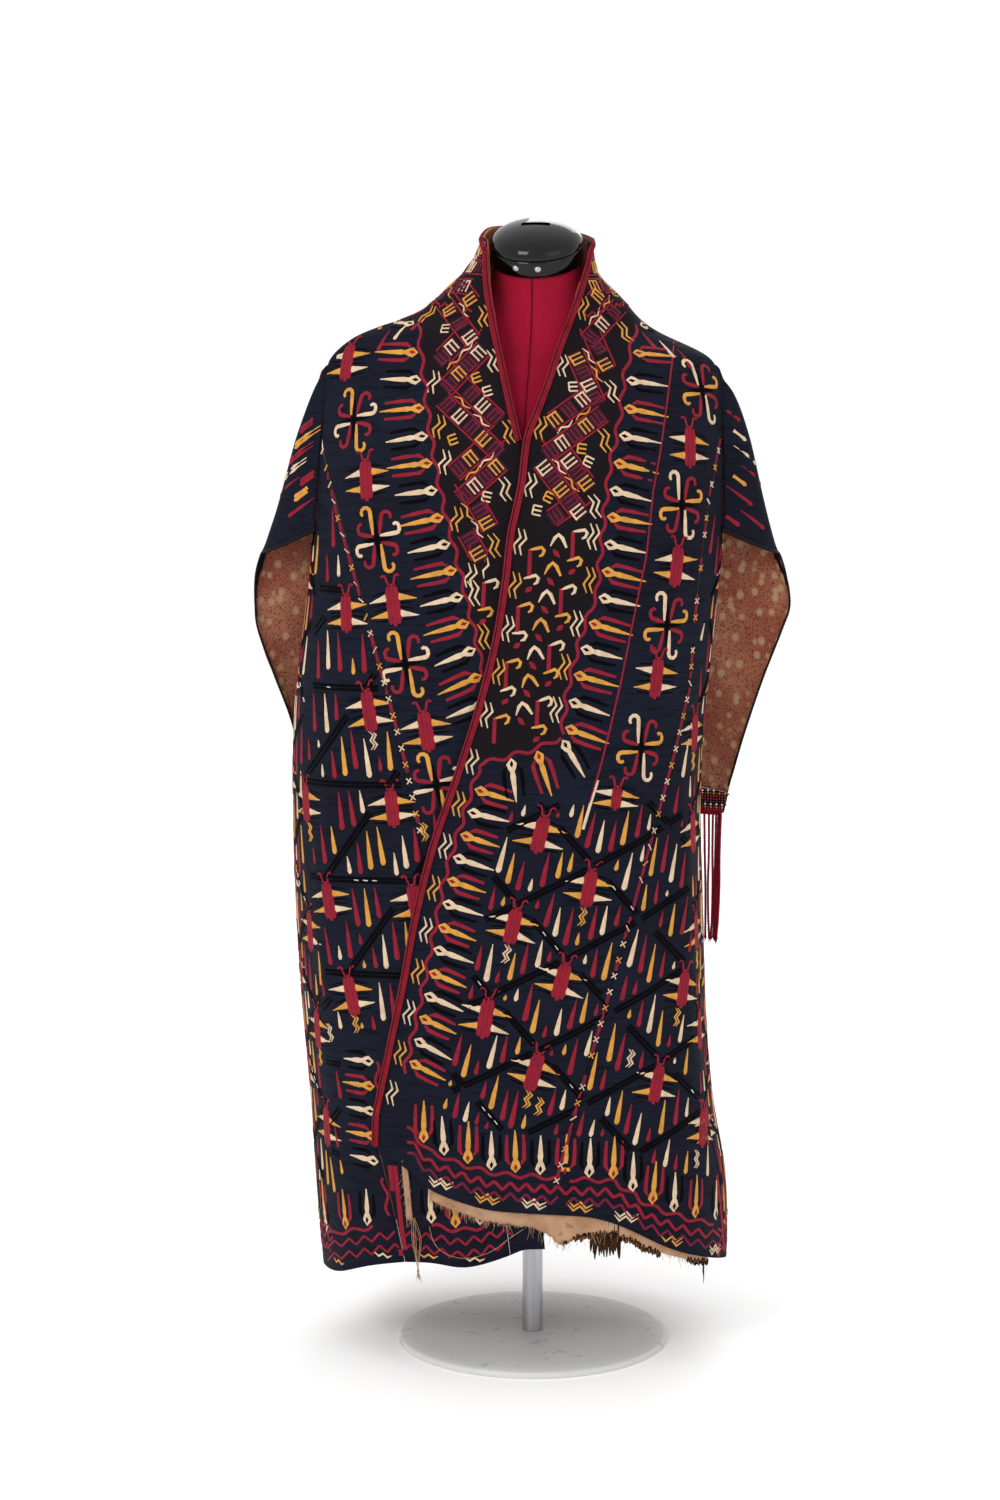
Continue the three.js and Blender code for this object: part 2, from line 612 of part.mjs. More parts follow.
// Up the front edge and round the top corner to the middle of the back. inward is 1 where the panel lies
// at greater angles than its front edge, and -1 where it lies at smaller ones.
function braidPath(edge, lowest, inward, end) {
  const shift = (angle, z, distance) => angle + (inward * distance) / directions(angle, z).along.length();
  const rising = PANEL_ROWS.filter((row) => row >= lowest && row < COLLAR_TOP).reverse();
  const pairs = rising.map((row) => {
    const z = rowHeight(edge(row), row);
    const outer = shift(edge(row), z, BRAID.inset);
    return [{ angle: outer, z }, { angle: shift(outer, z, BRAID.width), z }];
  });
  const corner = edge(COLLAR_TOP);
  const steps = Math.round(Math.abs(end - corner) / NAPE_STEP);
  for (let k = 0; k <= steps; k++) {
    const angle = corner + ((end - corner) * k) / steps;
    const top = collarAt(angle) - BRAID.inset;
    const inset = k ? 0 : BRAID.inset;
    const lower = top - BRAID.width;
    pairs.push([
      { angle: shift(angle, top, inset), z: top },
      { angle: shift(angle, lower, k ? 0 : inset + BRAID.width), z: lower },
    ]);
  }
  return inward > 0 ? pairs : pairs.map((pair) => pair.reverse());
}

const CROSSING = 1119; // lowest row where the under edge shows
const NAPE_STEP = 11;
const MIDDLE_BACK = 180;
const NAPE_GAP = 0.3; // degrees from the middle of the back to each braid's end
const lying = [BRAID.clear, BRAID.clear + BRAID.thick];
const leftPath = braidPath(overEdge, HEM_ROW, 1, MIDDLE_BACK - NAPE_GAP);
const rightPath = braidPath(underEdge, CROSSING, -1, MIDDLE_BACK + NAPE_GAP);
add("braid_left", stripOn(leftPath.reverse(), ...lying), RED_BRAID);
add("braid_right", stripOn(rightPath.reverse(), ...lying), RED_BRAID);

// ---- Loose facing under the hem ----

// It lies inside the hem, between the two layers. A torn end of it hangs free at the corner.
function inFacing(places) {
  const depth = (angle) => FACING_LIES.deep + FACING_LIES.sunk * smooth(angle, 20, 45);
  const grid = (extra) =>
    places.map((line) => line.map(({ angle, z }) => onCloth(angle, z, -depth(angle) - extra)));
  return wallOf(grid(0), grid(FACING_LIES.thick));
}
const facingLine = (height) => FACING.map((row) => ({ angle: row.angle, z: hemAt(row.angle) + height(row) }));
add("hem_facing", inFacing([facingLine(() => FACING_LIES.above), facingLine((row) => -row.hang)]), LINING);
const stripLine = (z) =>
  [-1, 1].map((side) => ({ angle: TORN_STRIP.angle + side * TORN_STRIP.halfAngle, z }));
add("facing_strip", inFacing([TORN_STRIP.top, TORN_STRIP.middle, TORN_STRIP.bottom].map(stripLine)), LINING);

// ---- Beaded bands and tassels at the ends of the sleeve tails ----

const LAST_ROW = TAIL_ROWS.at(-1);
const bandColumns = [0.5, 0.6, 0.7, 0.8, 0.9, 1];
function beadedEnd(side, surface, toBack, lean) {
  const ordered = (points) => (toBack > 0 ? points : points.reverse());
  const level = (row, out, columns = bandColumns) =>
    ordered(columns.map((across) => surface(across, row, out)));
  const bandTop = LAST_ROW - 0.6;
  const bandBottom = bandTop - BAND.height;
  const bandGrid = (out) => [bandTop, bandBottom].map((row) => level(row, out));
  add(`sleeve_band_${side}`, wallOf(bandGrid(BAND.gap), bandGrid(BAND.gap - BAND.thick)), BEADWORK);

  // Strands are every second column below the head, and draw together as they fall.
  const places = 2 * TASSEL.strands;
  const columns = Array.from({ length: places }, (_, i) => 0.5 + (0.5 * i) / (places - 1));
  const headTop = bandBottom - 0.5;
  const fall = [headTop, headTop - TASSEL.head, 600, 560, 520, 490];
  const middle = surface(0.75, fall[1], 0);
  const tasselGrid = (out) =>
    fall.map((z, j) => {
      const share = Math.max(0, (j - 1) / (fall.length - 2));
      const squeeze = 1 - (1 - TASSEL.taper) * Math.sqrt(share);
      return level(headTop, out, columns).map((point) => {
        point.sub(middle).multiplyScalar(squeeze).add(middle).add(lean.clone().multiplyScalar(headTop - z));
        return point.setZ(point.z + z - headTop);
      });
    });
  const strandOnly = (j, i) => j === 0 || i % 2 === 0;
  add(`tassel_${side}`, wallOf(tasselGrid(0.5), tasselGrid(0.5 - TASSEL.thick), strandOnly), TASSEL_SILK);
}
beadedEnd("left", leftSleeve, 1, new THREE.Vector3());
beadedEnd("right", rightSleeve, -1, new THREE.Vector3(-0.05, 0.14, 0));

// ---- Dress form ----

const form = new THREE.Group();
form.position.x = NECK.x;
form.rotation.z = -rad(FORM_TURN);
mantle.add(form);

// One half of the form: level half-rings from front to back, closed by a flat face at the middle seam.
function formHalf(side) {
  const AROUND = 14;
  const rings = FORM.map(({ z, half, front, back, round, tilt, y }) => {
    const points = [];
    for (let i = 0; i <= AROUND; i++) {
      const turn = (Math.PI * i) / AROUND;
      const s = Math.sin(turn);
      const c = Math.cos(turn);
      const reach = (s ** round + Math.abs(c) ** round) ** (-1 / round);
      const deep = -(c > 0 ? front : back) * c * reach;
      const x = side * Math.max(FORM_SPLIT / 2, half * s * reach);
      points.push(new THREE.Vector3(x, y + deep * Math.cos(rad(tilt)), z + deep * Math.sin(rad(tilt))));
    }
    return side > 0 ? points : points.reverse();
  });
  const corners = rings.flat();
  const wide = AROUND + 1;
  const faces = [];
  for (let j = 0; j < rings.length - 1; j++)
    for (let i = 0; i < wide; i++) {
      const a = j * wide + i;
      const b = j * wide + ((i + 1) % wide);
      faces.push([a, b, b + wide], [a, b + wide, a + wide]);
    }
  const top = (rings.length - 1) * wide;
  for (let i = 1; i < AROUND; i++) {
    faces.push([0, i + 1, i]);
    faces.push([top, top + i, top + i + 1]);
  }
  return geometryOf(corners, faces);
}
add("form_left", formHalf(1), JERSEY, form);
add("form_right", formHalf(-1), JERSEY, form);

// The black neck fitting leans forward: a band, a domed cap with a keyway, and two rivets in the band.
const neck = new THREE.Group();
neck.position.z = NECK.z;
neck.rotation.x = rad(NECK.tilt);
form.add(neck);

const upright = (geometry) => geometry.rotateX(Math.PI / 2);
const lathe = (profile, segments) =>
  upright(new THREE.LatheGeometry(profile.map(([r, z]) => new THREE.Vector2(r, z)), segments));

function solidOf(geometry) {
  geometry.deleteAttribute("normal");
  geometry.deleteAttribute("uv");
  const merged = mergeVertices(geometry);
  return new wasm.Manifold(
    new wasm.Mesh({
      numProp: 3,
      vertProperties: new Float32Array(merged.attributes.position.array),
      triVerts: new Uint32Array(merged.index.array),
    }),
  );
}

function geometryOfSolid(solid) {
  const { vertProperties, triVerts } = solid.getMesh();
  const geometry = new THREE.BufferGeometry();
  geometry.setAttribute("position", new THREE.BufferAttribute(vertProperties, 3));
  geometry.setIndex(new THREE.BufferAttribute(triVerts, 1));
  return geometry;
}

const bandProfile = [
  [0, -NECK.bandHeight],
  [NECK.radius - 1, -NECK.bandHeight],
  [NECK.radius, -NECK.bandHeight + 1.5],
  [NECK.radius, -1.5],
  [NECK.radius - 1, -SEAM_GAP],
  [0, -SEAM_GAP],
];
add("neck_band", lathe(bandProfile, 40), BLACK_PLASTIC, neck);

const rimHeight = 4;
const domeProfile = [[0, 0], [NECK.radius, 0], [NECK.radius, rimHeight]];
for (const turn of [20, 40, 60, 75]) {
  const height = rimHeight + (NECK.domeHeight - rimHeight) * Math.sin(rad(turn));
  domeProfile.push([NECK.radius * Math.cos(rad(turn)), height]);
}
domeProfile.push([0, NECK.domeHeight]);
const keyway = new THREE.BoxGeometry(KEYWAY.long, KEYWAY.wide, 2 * KEYWAY.deep);
keyway.translate(0, 0, NECK.domeHeight);
const dome = solidOf(lathe(domeProfile, 40)).subtract(solidOf(keyway));
add("neck_cap", geometryOfSolid(dome), BLACK_PLASTIC, neck);

RIVET.angles.forEach((angle, k) => {
  const rivet = new THREE.Group();
  rivet.rotation.z = rad(angle);
  neck.add(rivet);
  const profile = [[0, 0], [RIVET.radius, 0], [RIVET.radius * 0.75, RIVET.proud * 0.7], [0, RIVET.proud]];
  const mesh = add(`rivet_${k + 1}`, lathe(profile, 12), STEEL, rivet);
  mesh.rotation.x = Math.PI / 2;
  mesh.position.set(0, -NECK.radius - SEAM_GAP, -NECK.bandHeight / 2);
});

// ---- Stand ----

const BASE_PROFILE = [
  [0, 0],
  [BASE.radius, 0],
  [BASE.radius, BASE.thick - BASE.bevel],
  [BASE.radius - BASE.bevel, BASE.thick],
  [0, BASE.thick],
];
add("stand_base", lathe(BASE_PROFILE, 48), BASE_PAINT);
const poleTop = FORM[0].z - SEAM_GAP;
const poleFoot = BASE.thick + SEAM_GAP;
const poleProfile = [[0, poleFoot], [POLE_RADIUS, poleFoot], [POLE_RADIUS, poleTop], [0, poleTop]];
add("stand_pole", lathe(poleProfile, 20), STEEL);

export default mantle;
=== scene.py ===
import json
import math
import random

import bmesh
import bpy
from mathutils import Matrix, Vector, noise
from mathutils.bvhtree import BVHTree

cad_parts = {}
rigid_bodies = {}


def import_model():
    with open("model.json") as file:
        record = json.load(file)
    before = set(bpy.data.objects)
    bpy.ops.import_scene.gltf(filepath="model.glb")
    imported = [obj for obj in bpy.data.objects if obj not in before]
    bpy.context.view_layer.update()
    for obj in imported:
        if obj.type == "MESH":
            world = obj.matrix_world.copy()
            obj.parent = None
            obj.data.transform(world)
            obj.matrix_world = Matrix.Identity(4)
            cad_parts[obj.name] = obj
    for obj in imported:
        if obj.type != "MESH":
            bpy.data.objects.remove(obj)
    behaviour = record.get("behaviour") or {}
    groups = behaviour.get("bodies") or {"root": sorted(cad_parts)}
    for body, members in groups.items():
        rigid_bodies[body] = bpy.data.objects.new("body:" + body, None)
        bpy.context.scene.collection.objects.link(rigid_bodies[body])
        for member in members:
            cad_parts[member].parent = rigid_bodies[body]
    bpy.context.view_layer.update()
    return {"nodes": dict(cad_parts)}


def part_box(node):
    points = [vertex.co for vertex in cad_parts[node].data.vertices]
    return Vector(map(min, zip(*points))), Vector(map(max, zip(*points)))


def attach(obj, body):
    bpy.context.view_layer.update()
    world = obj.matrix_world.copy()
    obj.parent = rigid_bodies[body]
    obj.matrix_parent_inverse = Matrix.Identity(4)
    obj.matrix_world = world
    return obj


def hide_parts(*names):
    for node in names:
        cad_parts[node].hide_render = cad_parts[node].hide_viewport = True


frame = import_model()
nodes = frame["nodes"]
for obj in bpy.data.objects:
    obj.select_set(False)
scene = bpy.context.scene
random.seed(7)
MM = 0.001

# ---- Camera ----
# A long lens, a little above the shoulders, aimed at the middle of the stand and dress form together.
camera_data = bpy.data.cameras.new("camera")
camera_data.lens = 91.14
camera_data.sensor_width = 36
camera = bpy.data.objects.new("camera", camera_data)
scene.collection.objects.link(camera)
camera.location = (-0.040, -4.500, 1.450)
AIM = Vector((-0.040, 0, 0.730))
camera.rotation_euler = (AIM - camera.location).to_track_quat("-Z", "Y").to_euler()
scene.camera = camera

# ---- Silk cloth of the mantle ----
# Six lined panels of navy loom-width silk: two fronts, two back widths and two side gores, sewn edge to edge.
# The lining is a rust-red printed cotton. Each panel is the frame's own wall, made fine and softly creased.


class Shade:
    """A shader socket, or a number, that can be used in a Python expression."""

    def __init__(self, tree, socket):
        self.tree = tree
        self.socket = socket

    def node(self, kind, settings=None, **values):
        made = self.tree.nodes.new(kind)
        for name, value in (settings or {}).items():
            setattr(made, name, value)
        for name, value in values.items():
            put(self.tree, find_socket(made, name), value)
        return made

    def maths(self, operation, *values):
        made = self.node("ShaderNodeMath", {"operation": operation})
        for socket, value in zip(made.inputs, values):
            put(self.tree, socket, value)
        return Shade(self.tree, made.outputs[0])

    def __add__(self, other):
        return self.maths("ADD", self, other)

    __radd__ = __add__

    def __mul__(self, other):
        return self.maths("MULTIPLY", self, other)

    __rmul__ = __mul__

    def __sub__(self, other):
        return self.maths("SUBTRACT", self, other)

    def __rsub__(self, other):
        return self.maths("SUBTRACT", other, self)

    def __gt__(self, other):
        return self.maths("GREATER_THAN", self, other)

    def between(self, low, high):
        """0 below low, 1 above high, and smooth in between."""
        made = self.node(
            "ShaderNodeMapRange", {"interpolation_type": "SMOOTHSTEP"},
            Value=self, From_Min=low, From_Max=high,
        )
        return Shade(self.tree, made.outputs[0])


def find_socket(made, name):
    return made.inputs[int(name[1:])] if name[0] == "_" else made.inputs[name.replace("_", " ")]


def put(tree, socket, value):
    if isinstance(value, Shade):
        tree.links.new(value.socket, socket)
    elif isinstance(value, tuple) and len(value) == 3 and socket.type == "RGBA":
        socket.default_value = (*value, 1)
    else:
        socket.default_value = value


def rgb(red, green, blue):
    """A colour given as screen values from 0 to 255, as the linear colour that shaders use."""
    return tuple(((v / 255 + 0.055) / 1.055) ** 2.4 if v > 10 else v / 3294.6 for v in (red, green, blue))


class Finish:
    """A material that starts with Object coordinates and ends in one Principled shader."""

    def __init__(self, name, roughness=0.7, **constants):
        self.material = bpy.data.materials.new(name)
        self.material.use_nodes = True
        self.tree = self.material.node_tree
        self.shader = self.tree.nodes["Principled BSDF"]
        self.shader.inputs["Roughness"].default_value = roughness
        for key, value in constants.items():
            put(self.tree, find_socket(self.shader, key), value)
        self.tool = Shade(self.tree, None)
        self.place = Shade(self.tree, self.tool.node("ShaderNodeTexCoord").outputs["Object"])

    def stretched(self, x, y, z):
        made = self.tool.node("ShaderNodeVectorMath", {"operation": "MULTIPLY"}, _0=self.place, _1=(x, y, z))
        return Shade(self.tree, made.outputs[0])

    def noise(self, scale, detail=2, at=None, rough=0.5):
        made = self.tool.node(
            "ShaderNodeTexNoise", Vector=at or self.place, Scale=scale, Detail=detail, Roughness=rough
        )
        return Shade(self.tree, made.outputs["Fac"])

    def stripes(self, scale, axis, distortion=0.0, at=None):
        made = self.tool.node(
            "ShaderNodeTexWave", {"bands_direction": axis},
            Vector=at or self.place, Scale=scale, Distortion=distortion, Detail=1.0,
        )
        return Shade(self.tree, made.outputs["Fac"])

    def spots(self, scale, at=None):
        made = self.tool.node("ShaderNodeTexVoronoi", Vector=at or self.place, Scale=scale, Randomness=0.9)
        return Shade(self.tree, made.outputs["Distance"])

    def attribute(self, name):
        made = self.tool.node("ShaderNodeAttribute", {"attribute_name": name})
        return Shade(self.tree, made.outputs["Fac"])

    def blend(self, amount, first, second):
        made = self.tool.node("ShaderNodeMix", {"data_type": "RGBA"}, _0=amount, _6=first, _7=second)
        return Shade(self.tree, made.outputs[2])

    def finish(self, colour, height=None, depth=0.3, roughness=None):
        put(self.tree, self.shader.inputs["Base Color"], colour)
        if roughness is not None:
            put(self.tree, self.shader.inputs["Roughness"], roughness)
        if height is not None:
            bump = self.tool.node("ShaderNodeBump", Height=height, Strength=0.9, Distance=depth * MM)
            put(self.tree, self.shader.inputs["Normal"], Shade(self.tree, bump.outputs[0]))
        return self.material


NAVY = rgb(18, 19, 32)
DEEP_NAVY = rgb(10, 10, 17)
TEAL_NAVY = rgb(19, 24, 37)
SOOT_BLACK = rgb(20, 15, 19)
silk = Finish("navy_silk", roughness=0.7, Specular_IOR_Level=0.06)
weave = silk.stripes(900, "Z") * 0.5 + silk.stripes(700, "X") * 0.4
slubs = silk.noise(34, 3, at=silk.stretched(1, 1, 9))
puckers = silk.noise(60, 2, at=silk.stretched(0.6, 0.6, 2.2))
cloudy = silk.noise(7, 3)
navy = silk.blend(cloudy.between(0.35, 0.65), NAVY, TEAL_NAVY)
navy = silk.blend(slubs.between(0.45, 0.7) * 0.8, navy, DEEP_NAVY)
grounded = silk.blend(silk.attribute("black_ground"), navy, SOOT_BLACK)
NAVY_SILK = silk.finish(grounded, puckers * 2.2 + slubs * 0.6 + weave * 0.12, depth=0.9)

RUST = rgb(148, 84, 66)
RUST_PALE = rgb(176, 118, 92)
RUST_DEEP = rgb(104, 46, 40)
FLOWER_CREAM = rgb(188, 156, 118)
lining = Finish("printed_lining", roughness=0.85, Specular_IOR_Level=0.05)
flowers = lining.spots(78, at=lining.stretched(1, 1, 0.8))
petals = lining.spots(330)
specks = lining.noise(420, 3)
faded = lining.blend(lining.noise(16, 4).between(0.3, 0.7), RUST, RUST_PALE)
printed = lining.blend(specks.between(0.5, 0.62) * 0.75, faded, RUST_DEEP)
petal_share = (1 - flowers.between(0.2, 0.42)) * petals.between(0.05, 0.3) * 0.75
printed = lining.blend(petal_share, printed, FLOWER_CREAM)
dark_dots = (1 - lining.spots(260, at=lining.stretched(1, 1, 1.3)).between(0.1, 0.2)) * lining.noise(40, 2)
printed = lining.blend(dark_dots * 0.9, printed, rgb(52, 30, 30))
LINING_PRINT = lining.finish(printed, lining.noise(45, 3) * 2 + lining.stripes(800, "Z") * 0.2, depth=0.8)

AXIS_Y = 0.005  # the mantle's level sections are widest here
# Soft creases: a line on the body from one place to another as (angle, height), how wide and how proud it
# is. Angles run round the body from 0 at the front by 90 at the wearer's left to 180 at the back.
CREASES = [
    {"from": (300, 1.165), "to": (318, 1.02), "wide": 0.020, "proud": 0.0035},
    {"from": (289, 1.10), "to": (303, 0.93), "wide": 0.016, "proud": 0.0030},
    {"from": (60, 1.16), "to": (43, 1.01), "wide": 0.022, "proud": 0.0035},
    {"from": (73, 1.08), "to": (58, 0.90), "wide": 0.017, "proud": 0.0028},
    {"from": (40, 0.86), "to": (47, 0.34), "wide": 0.026, "proud": 0.0045},
    {"from": (64, 0.78), "to": (70, 0.24), "wide": 0.022, "proud": 0.0050},
    {"from": (12, 0.70), "to": (19, 0.24), "wide": 0.024, "proud": 0.0035},
    {"from": (337, 0.62), "to": (341, 0.20), "wide": 0.022, "proud": 0.0035},
    {"from": (318, 0.92), "to": (312, 0.25), "wide": 0.026, "proud": 0.0045},
    {"from": (292, 0.80), "to": (288, 0.20), "wide": 0.022, "proud": 0.0050},
    {"from": (352, 0.93), "to": (340, 0.70), "wide": 0.014, "proud": 0.0025},
    {"from": (150, 1.17), "to": (163, 0.97), "wide": 0.022, "proud": 0.0035},
    {"from": (211, 1.16), "to": (197, 0.94), "wide": 0.024, "proud": 0.0035},
    {"from": (128, 1.05), "to": (137, 0.80), "wide": 0.020, "proud": 0.0030},
    {"from": (232, 1.07), "to": (224, 0.79), "wide": 0.018, "proud": 0.0030},
    {"from": (180, 1.22), "to": (178, 1.04), "wide": 0.018, "proud": 0.0022},
    {"from": (100, 0.84), "to": (98, 0.26), "wide": 0.022, "proud": 0.0045},
    {"from": (262, 0.82), "to": (266, 0.22), "wide": 0.020, "proud": 0.0045},
]


def turn_of(place):
    """The angle of a place round the body, in degrees from 0 to 360."""
    return math.degrees(math.atan2(place.x, -(place.y - AXIS_Y))) % 360


def crease_rise(place):
    rise = 0.0
    around = math.hypot(place.x, place.y - AXIS_Y)
    for crease in CREASES:
        (angle_0, height_0), (angle_1, height_1) = crease["from"], crease["to"]
        if not height_1 - 0.06 < place.z < height_0 + 0.06:
            continue
        share = (height_0 - place.z) / (height_0 - height_1)
        on_line = angle_0 + (angle_1 - angle_0) * min(1, max(0, share))
        off = math.radians((turn_of(place) - on_line + 180) % 360 - 180) * around / crease["wide"]
        if abs(off) > 2.6:
            continue
        fade = max(0.0, min(1.0, 1.2 - abs(share - 0.5) * 1.9)) ** 1.5
        rise += crease["proud"] * math.exp(-off * off) * fade
    return rise


def outward_from_body(place):
    return Vector((place.x * 0.8, place.y - AXIS_Y, 0)).normalized()


def fine_copy(name, source, levels):
    """A copy of one CAD node as an object of its own: merged, in quads, its sharp rims kept and smoothed."""
    made = bpy.data.objects.new(name, nodes[source].data.copy())
    scene.collection.objects.link(made)
    made.data.materials.clear()
    mesh = bmesh.new()
    mesh.from_mesh(made.data)
    bmesh.ops.remove_doubles(mesh, verts=mesh.verts, dist=2e-5)
    bmesh.ops.join_triangles(
        mesh, faces=mesh.faces, angle_face_threshold=math.radians(50), angle_shape_threshold=math.radians(60)
    )
    crease = mesh.edges.layers.float.new("crease_edge")
    for edge in mesh.edges:
        if len(edge.link_faces) == 2 and edge.calc_face_angle(0) > math.radians(50):
            edge[crease] = 1
    mesh.to_mesh(made.data)
    mesh.free()
    bpy.context.view_layer.objects.active = made
    smoother = made.modifiers.new("fine", "SUBSURF")
    smoother.levels = smoother.render_levels = levels
    bpy.ops.object.modifier_apply(modifier="fine")
    made.data.polygons.foreach_set("use_smooth", [True] * len(made.data.polygons))
    return made


def show(piece, slot, *replaced):
    """Every piece of this object is in one body: this puts the piece in it and hides the frame's parts that
    it replaces.
    """
    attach(piece, "root")
    if replaced:
        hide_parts(*replaced)
    return piece


def near_neckline(place, name):
    """1 on the black ground inside the wavy red line round the neck opening, 0 outside it."""
    if place.z > shoulder_line(turn_of(place)):
        return 1.0
    if name == "front_left" and place.z > 0.735 + max(0.0, place.x + 0.071) * 0.31:
        return min(1.0, max(0.0, (border_x(WAVY_LEFT, place.z) - place.x) / 0.005))
    if name == "front_right" and place.z > 0.860:
        return min(1.0, max(0.0, (place.x - border_x(WAVY_RIGHT, place.z)) / 0.005))
    return 0.0


# The wavy red line on the wearer's right and left of the neck opening, as (x, z) from the shoulder down.
WAVY_RIGHT = [
    (-0.136, 1.239), (-0.128, 1.174), (-0.120, 1.113), (-0.108, 1.047), (-0.085, 0.955), (-0.068, 0.883),
    (-0.052, 0.812), (-0.048, 0.790),
]
WAVY_LEFT = [
    (0.120, 1.238), (0.103, 1.176), (0.100, 1.142), (0.086, 1.075), (0.080, 1.020), (0.072, 0.933),
    (0.055, 0.890), (0.039, 0.828), (0.031, 0.767),
]


def border_x(line, height):
    if height >= line[0][1]:
        return line[0][0]
    for (x_0, z_0), (x_1, z_1) in zip(line, line[1:]):
        if z_1 <= height:
            return x_0 + (x_1 - x_0) * (z_0 - height) / (z_0 - z_1)
    (x_0, z_0), (x_1, z_1) = line[-2:]
    return x_1 + (x_1 - x_0) * (z_1 - height) / (z_0 - z_1)


def shoulder_line(angle):
    """How high the neck's wavy line runs over the shoulders and round the back."""
    return 1.262 - 0.026 * math.cos(math.radians(angle)) ** 2


PANELS = {
    "front_left": {"levels": 3, "flat": (0.46, 1.26), "area": 0.27, "rests_on": ["form_left"]},
    "front_right": {"levels": 3, "flat": (0.42, 1.26), "area": 0.20, "rests_on": ["form_right"]},
    "back_left": {"levels": 2, "flat": (0.34, 1.26), "area": 0.32, "rests_on": ["form_left"]},
    "back_right": {"levels": 2, "flat": (0.34, 1.26), "area": 0.32, "rests_on": ["form_right"]},
    "gore_left": {"levels": 2, "flat": (0.52, 1.02), "area": 0.24, "rests_on": ["front_left"]},
    "gore_right": {"levels": 2, "flat": (0.52, 1.02), "area": 0.25, "rests_on": ["front_right"]},
}
cloth = {}
for name, facts in PANELS.items():
    panel = fine_copy(f"silk_{name}", name, facts["levels"])
    panel.data.materials.append(NAVY_SILK)
    panel.data.materials.append(LINING_PRINT)
    for corner in panel.data.vertices:
        corner.co += outward_from_body(corner.co) * crease_rise(corner.co)
    for face in panel.data.polygons:
        face.material_index = 1 if face.normal.dot(outward_from_body(face.center)) < -0.25 else 0
    ground = panel.data.attributes.new("black_ground", "FLOAT", "POINT")
    ground.data.foreach_set("value", [near_neckline(corner.co, name) for corner in panel.data.vertices])
    show(panel, "embroidered_silk", name)
    cloth[name] = panel

# ---- Sleeves ----
# Long false sleeves of the same silk. Below a wide mouth only the back half goes on, as a narrow tail that
# shows its printed lining.
SLEEVES = {
    "sleeve_left": {"flat": (0.20, 0.56), "area": 0.045, "rests_on": ["gore_left"], "side": 1},
    "sleeve_right": {"flat": (0.18, 0.56), "area": 0.038, "rests_on": ["gore_right"], "side": -1},
}
SLEEVE_ROOM = 0.09  # more than a sleeve is deep, and less than it stands from its own tail's end
for name, facts in SLEEVES.items():
    sleeve = fine_copy(f"silk_{name}", name, 2)
    sleeve.data.materials.append(NAVY_SILK)
    sleeve.data.materials.append(LINING_PRINT)
    shell = bmesh.new()
    shell.from_mesh(sleeve.data)
    tree = BVHTree.FromBMesh(shell)

    def walled(start, heading):
        """Whether another wall of the sleeve stands that way, more than the cloth's own thickness off."""
        return tree.ray_cast(start + heading * 0.0022, heading, SLEEVE_ROOM)[0] is not None

    for face in shell.faces:
        centre = face.calc_center_median()
        forward = Vector((0, -1, 0))
        if face.normal.y < -0.15:
            inside = walled(centre, forward) or not walled(centre, -forward)
        elif face.normal.y > 0.15:
            inside = walled(centre, -forward)
        else:
            inside = walled(centre, Vector((face.normal.x, 0, 0)).normalized())
        face.material_index = 1 if inside else 0
    shell.to_mesh(sleeve.data)
    shell.free()
    for corner in sleeve.data.vertices:
        high = min(1.0, max(0.0, (corner.co.z - 1.10) / 0.08))
        outer = min(1.0, max(0.0, (abs(corner.co.x) - (0.219 if facts["side"] > 0 else 0.248)) / 0.008))
        corner.co.x -= facts["side"] * 0.0030 * high
        corner.co.z -= 0.009 * outer * high ** 3
    show(sleeve, "embroidered_silk", name)
    cloth[name] = sleeve

# ---- Embroidery ----
# Silk thread in a dense raised stitch: every motif is a low padded ridge that lies on the cloth. The motifs
# are laid out in loops along the wavy neck line, the seams, the hem and a lattice of crossing black lines.
CRIMSON = rgb(142, 26, 44)
PLUM = rgb(112, 27, 50)
WINE = rgb(52, 20, 34)
CREAM = rgb(222, 196, 164)
GOLD = rgb(212, 152, 66)
THREAD_BLACK = rgb(10, 8, 11)
CHALK = rgb(222, 222, 216)


def thread_finish(name, colour, worn, shine=0.12):
    """Twisted silk thread, laid side by side: fine ribs, small tone changes and darker worn places."""
    made = Finish(name, roughness=0.6, Specular_IOR_Level=shine)
    ribs = made.stripes(420, "Z", 2.0) * 0.6 + made.noise(520, 2) * 0.6
    tone = made.blend(made.noise(90, 2).between(0.35, 0.75) * 0.55, colour, worn)
    gaps = made.noise(260, 2, at=made.stretched(1, 1, 0.5)).between(0.62, 0.7) * 0.5
    return made.finish(made.blend(gaps, tone, worn), ribs, depth=0.5)


THREADS = {
    "crimson": thread_finish("crimson_thread", CRIMSON, rgb(112, 22, 42)),
    "plum": thread_finish("plum_thread", PLUM, rgb(80, 20, 42)),
    "wine": thread_finish("wine_thread", WINE, rgb(34, 14, 26)),
    "cream": thread_finish("cream_thread", CREAM, rgb(190, 158, 124)),
    "gold": thread_finish("gold_thread", GOLD, rgb(176, 118, 48)),
    "black": thread_finish("black_thread", THREAD_BLACK, rgb(6, 5, 7), 0.02),
    "chalk": thread_finish("chalk_thread", CHALK, rgb(170, 166, 160)),
}
THREAD_ORDER = list(THREADS)


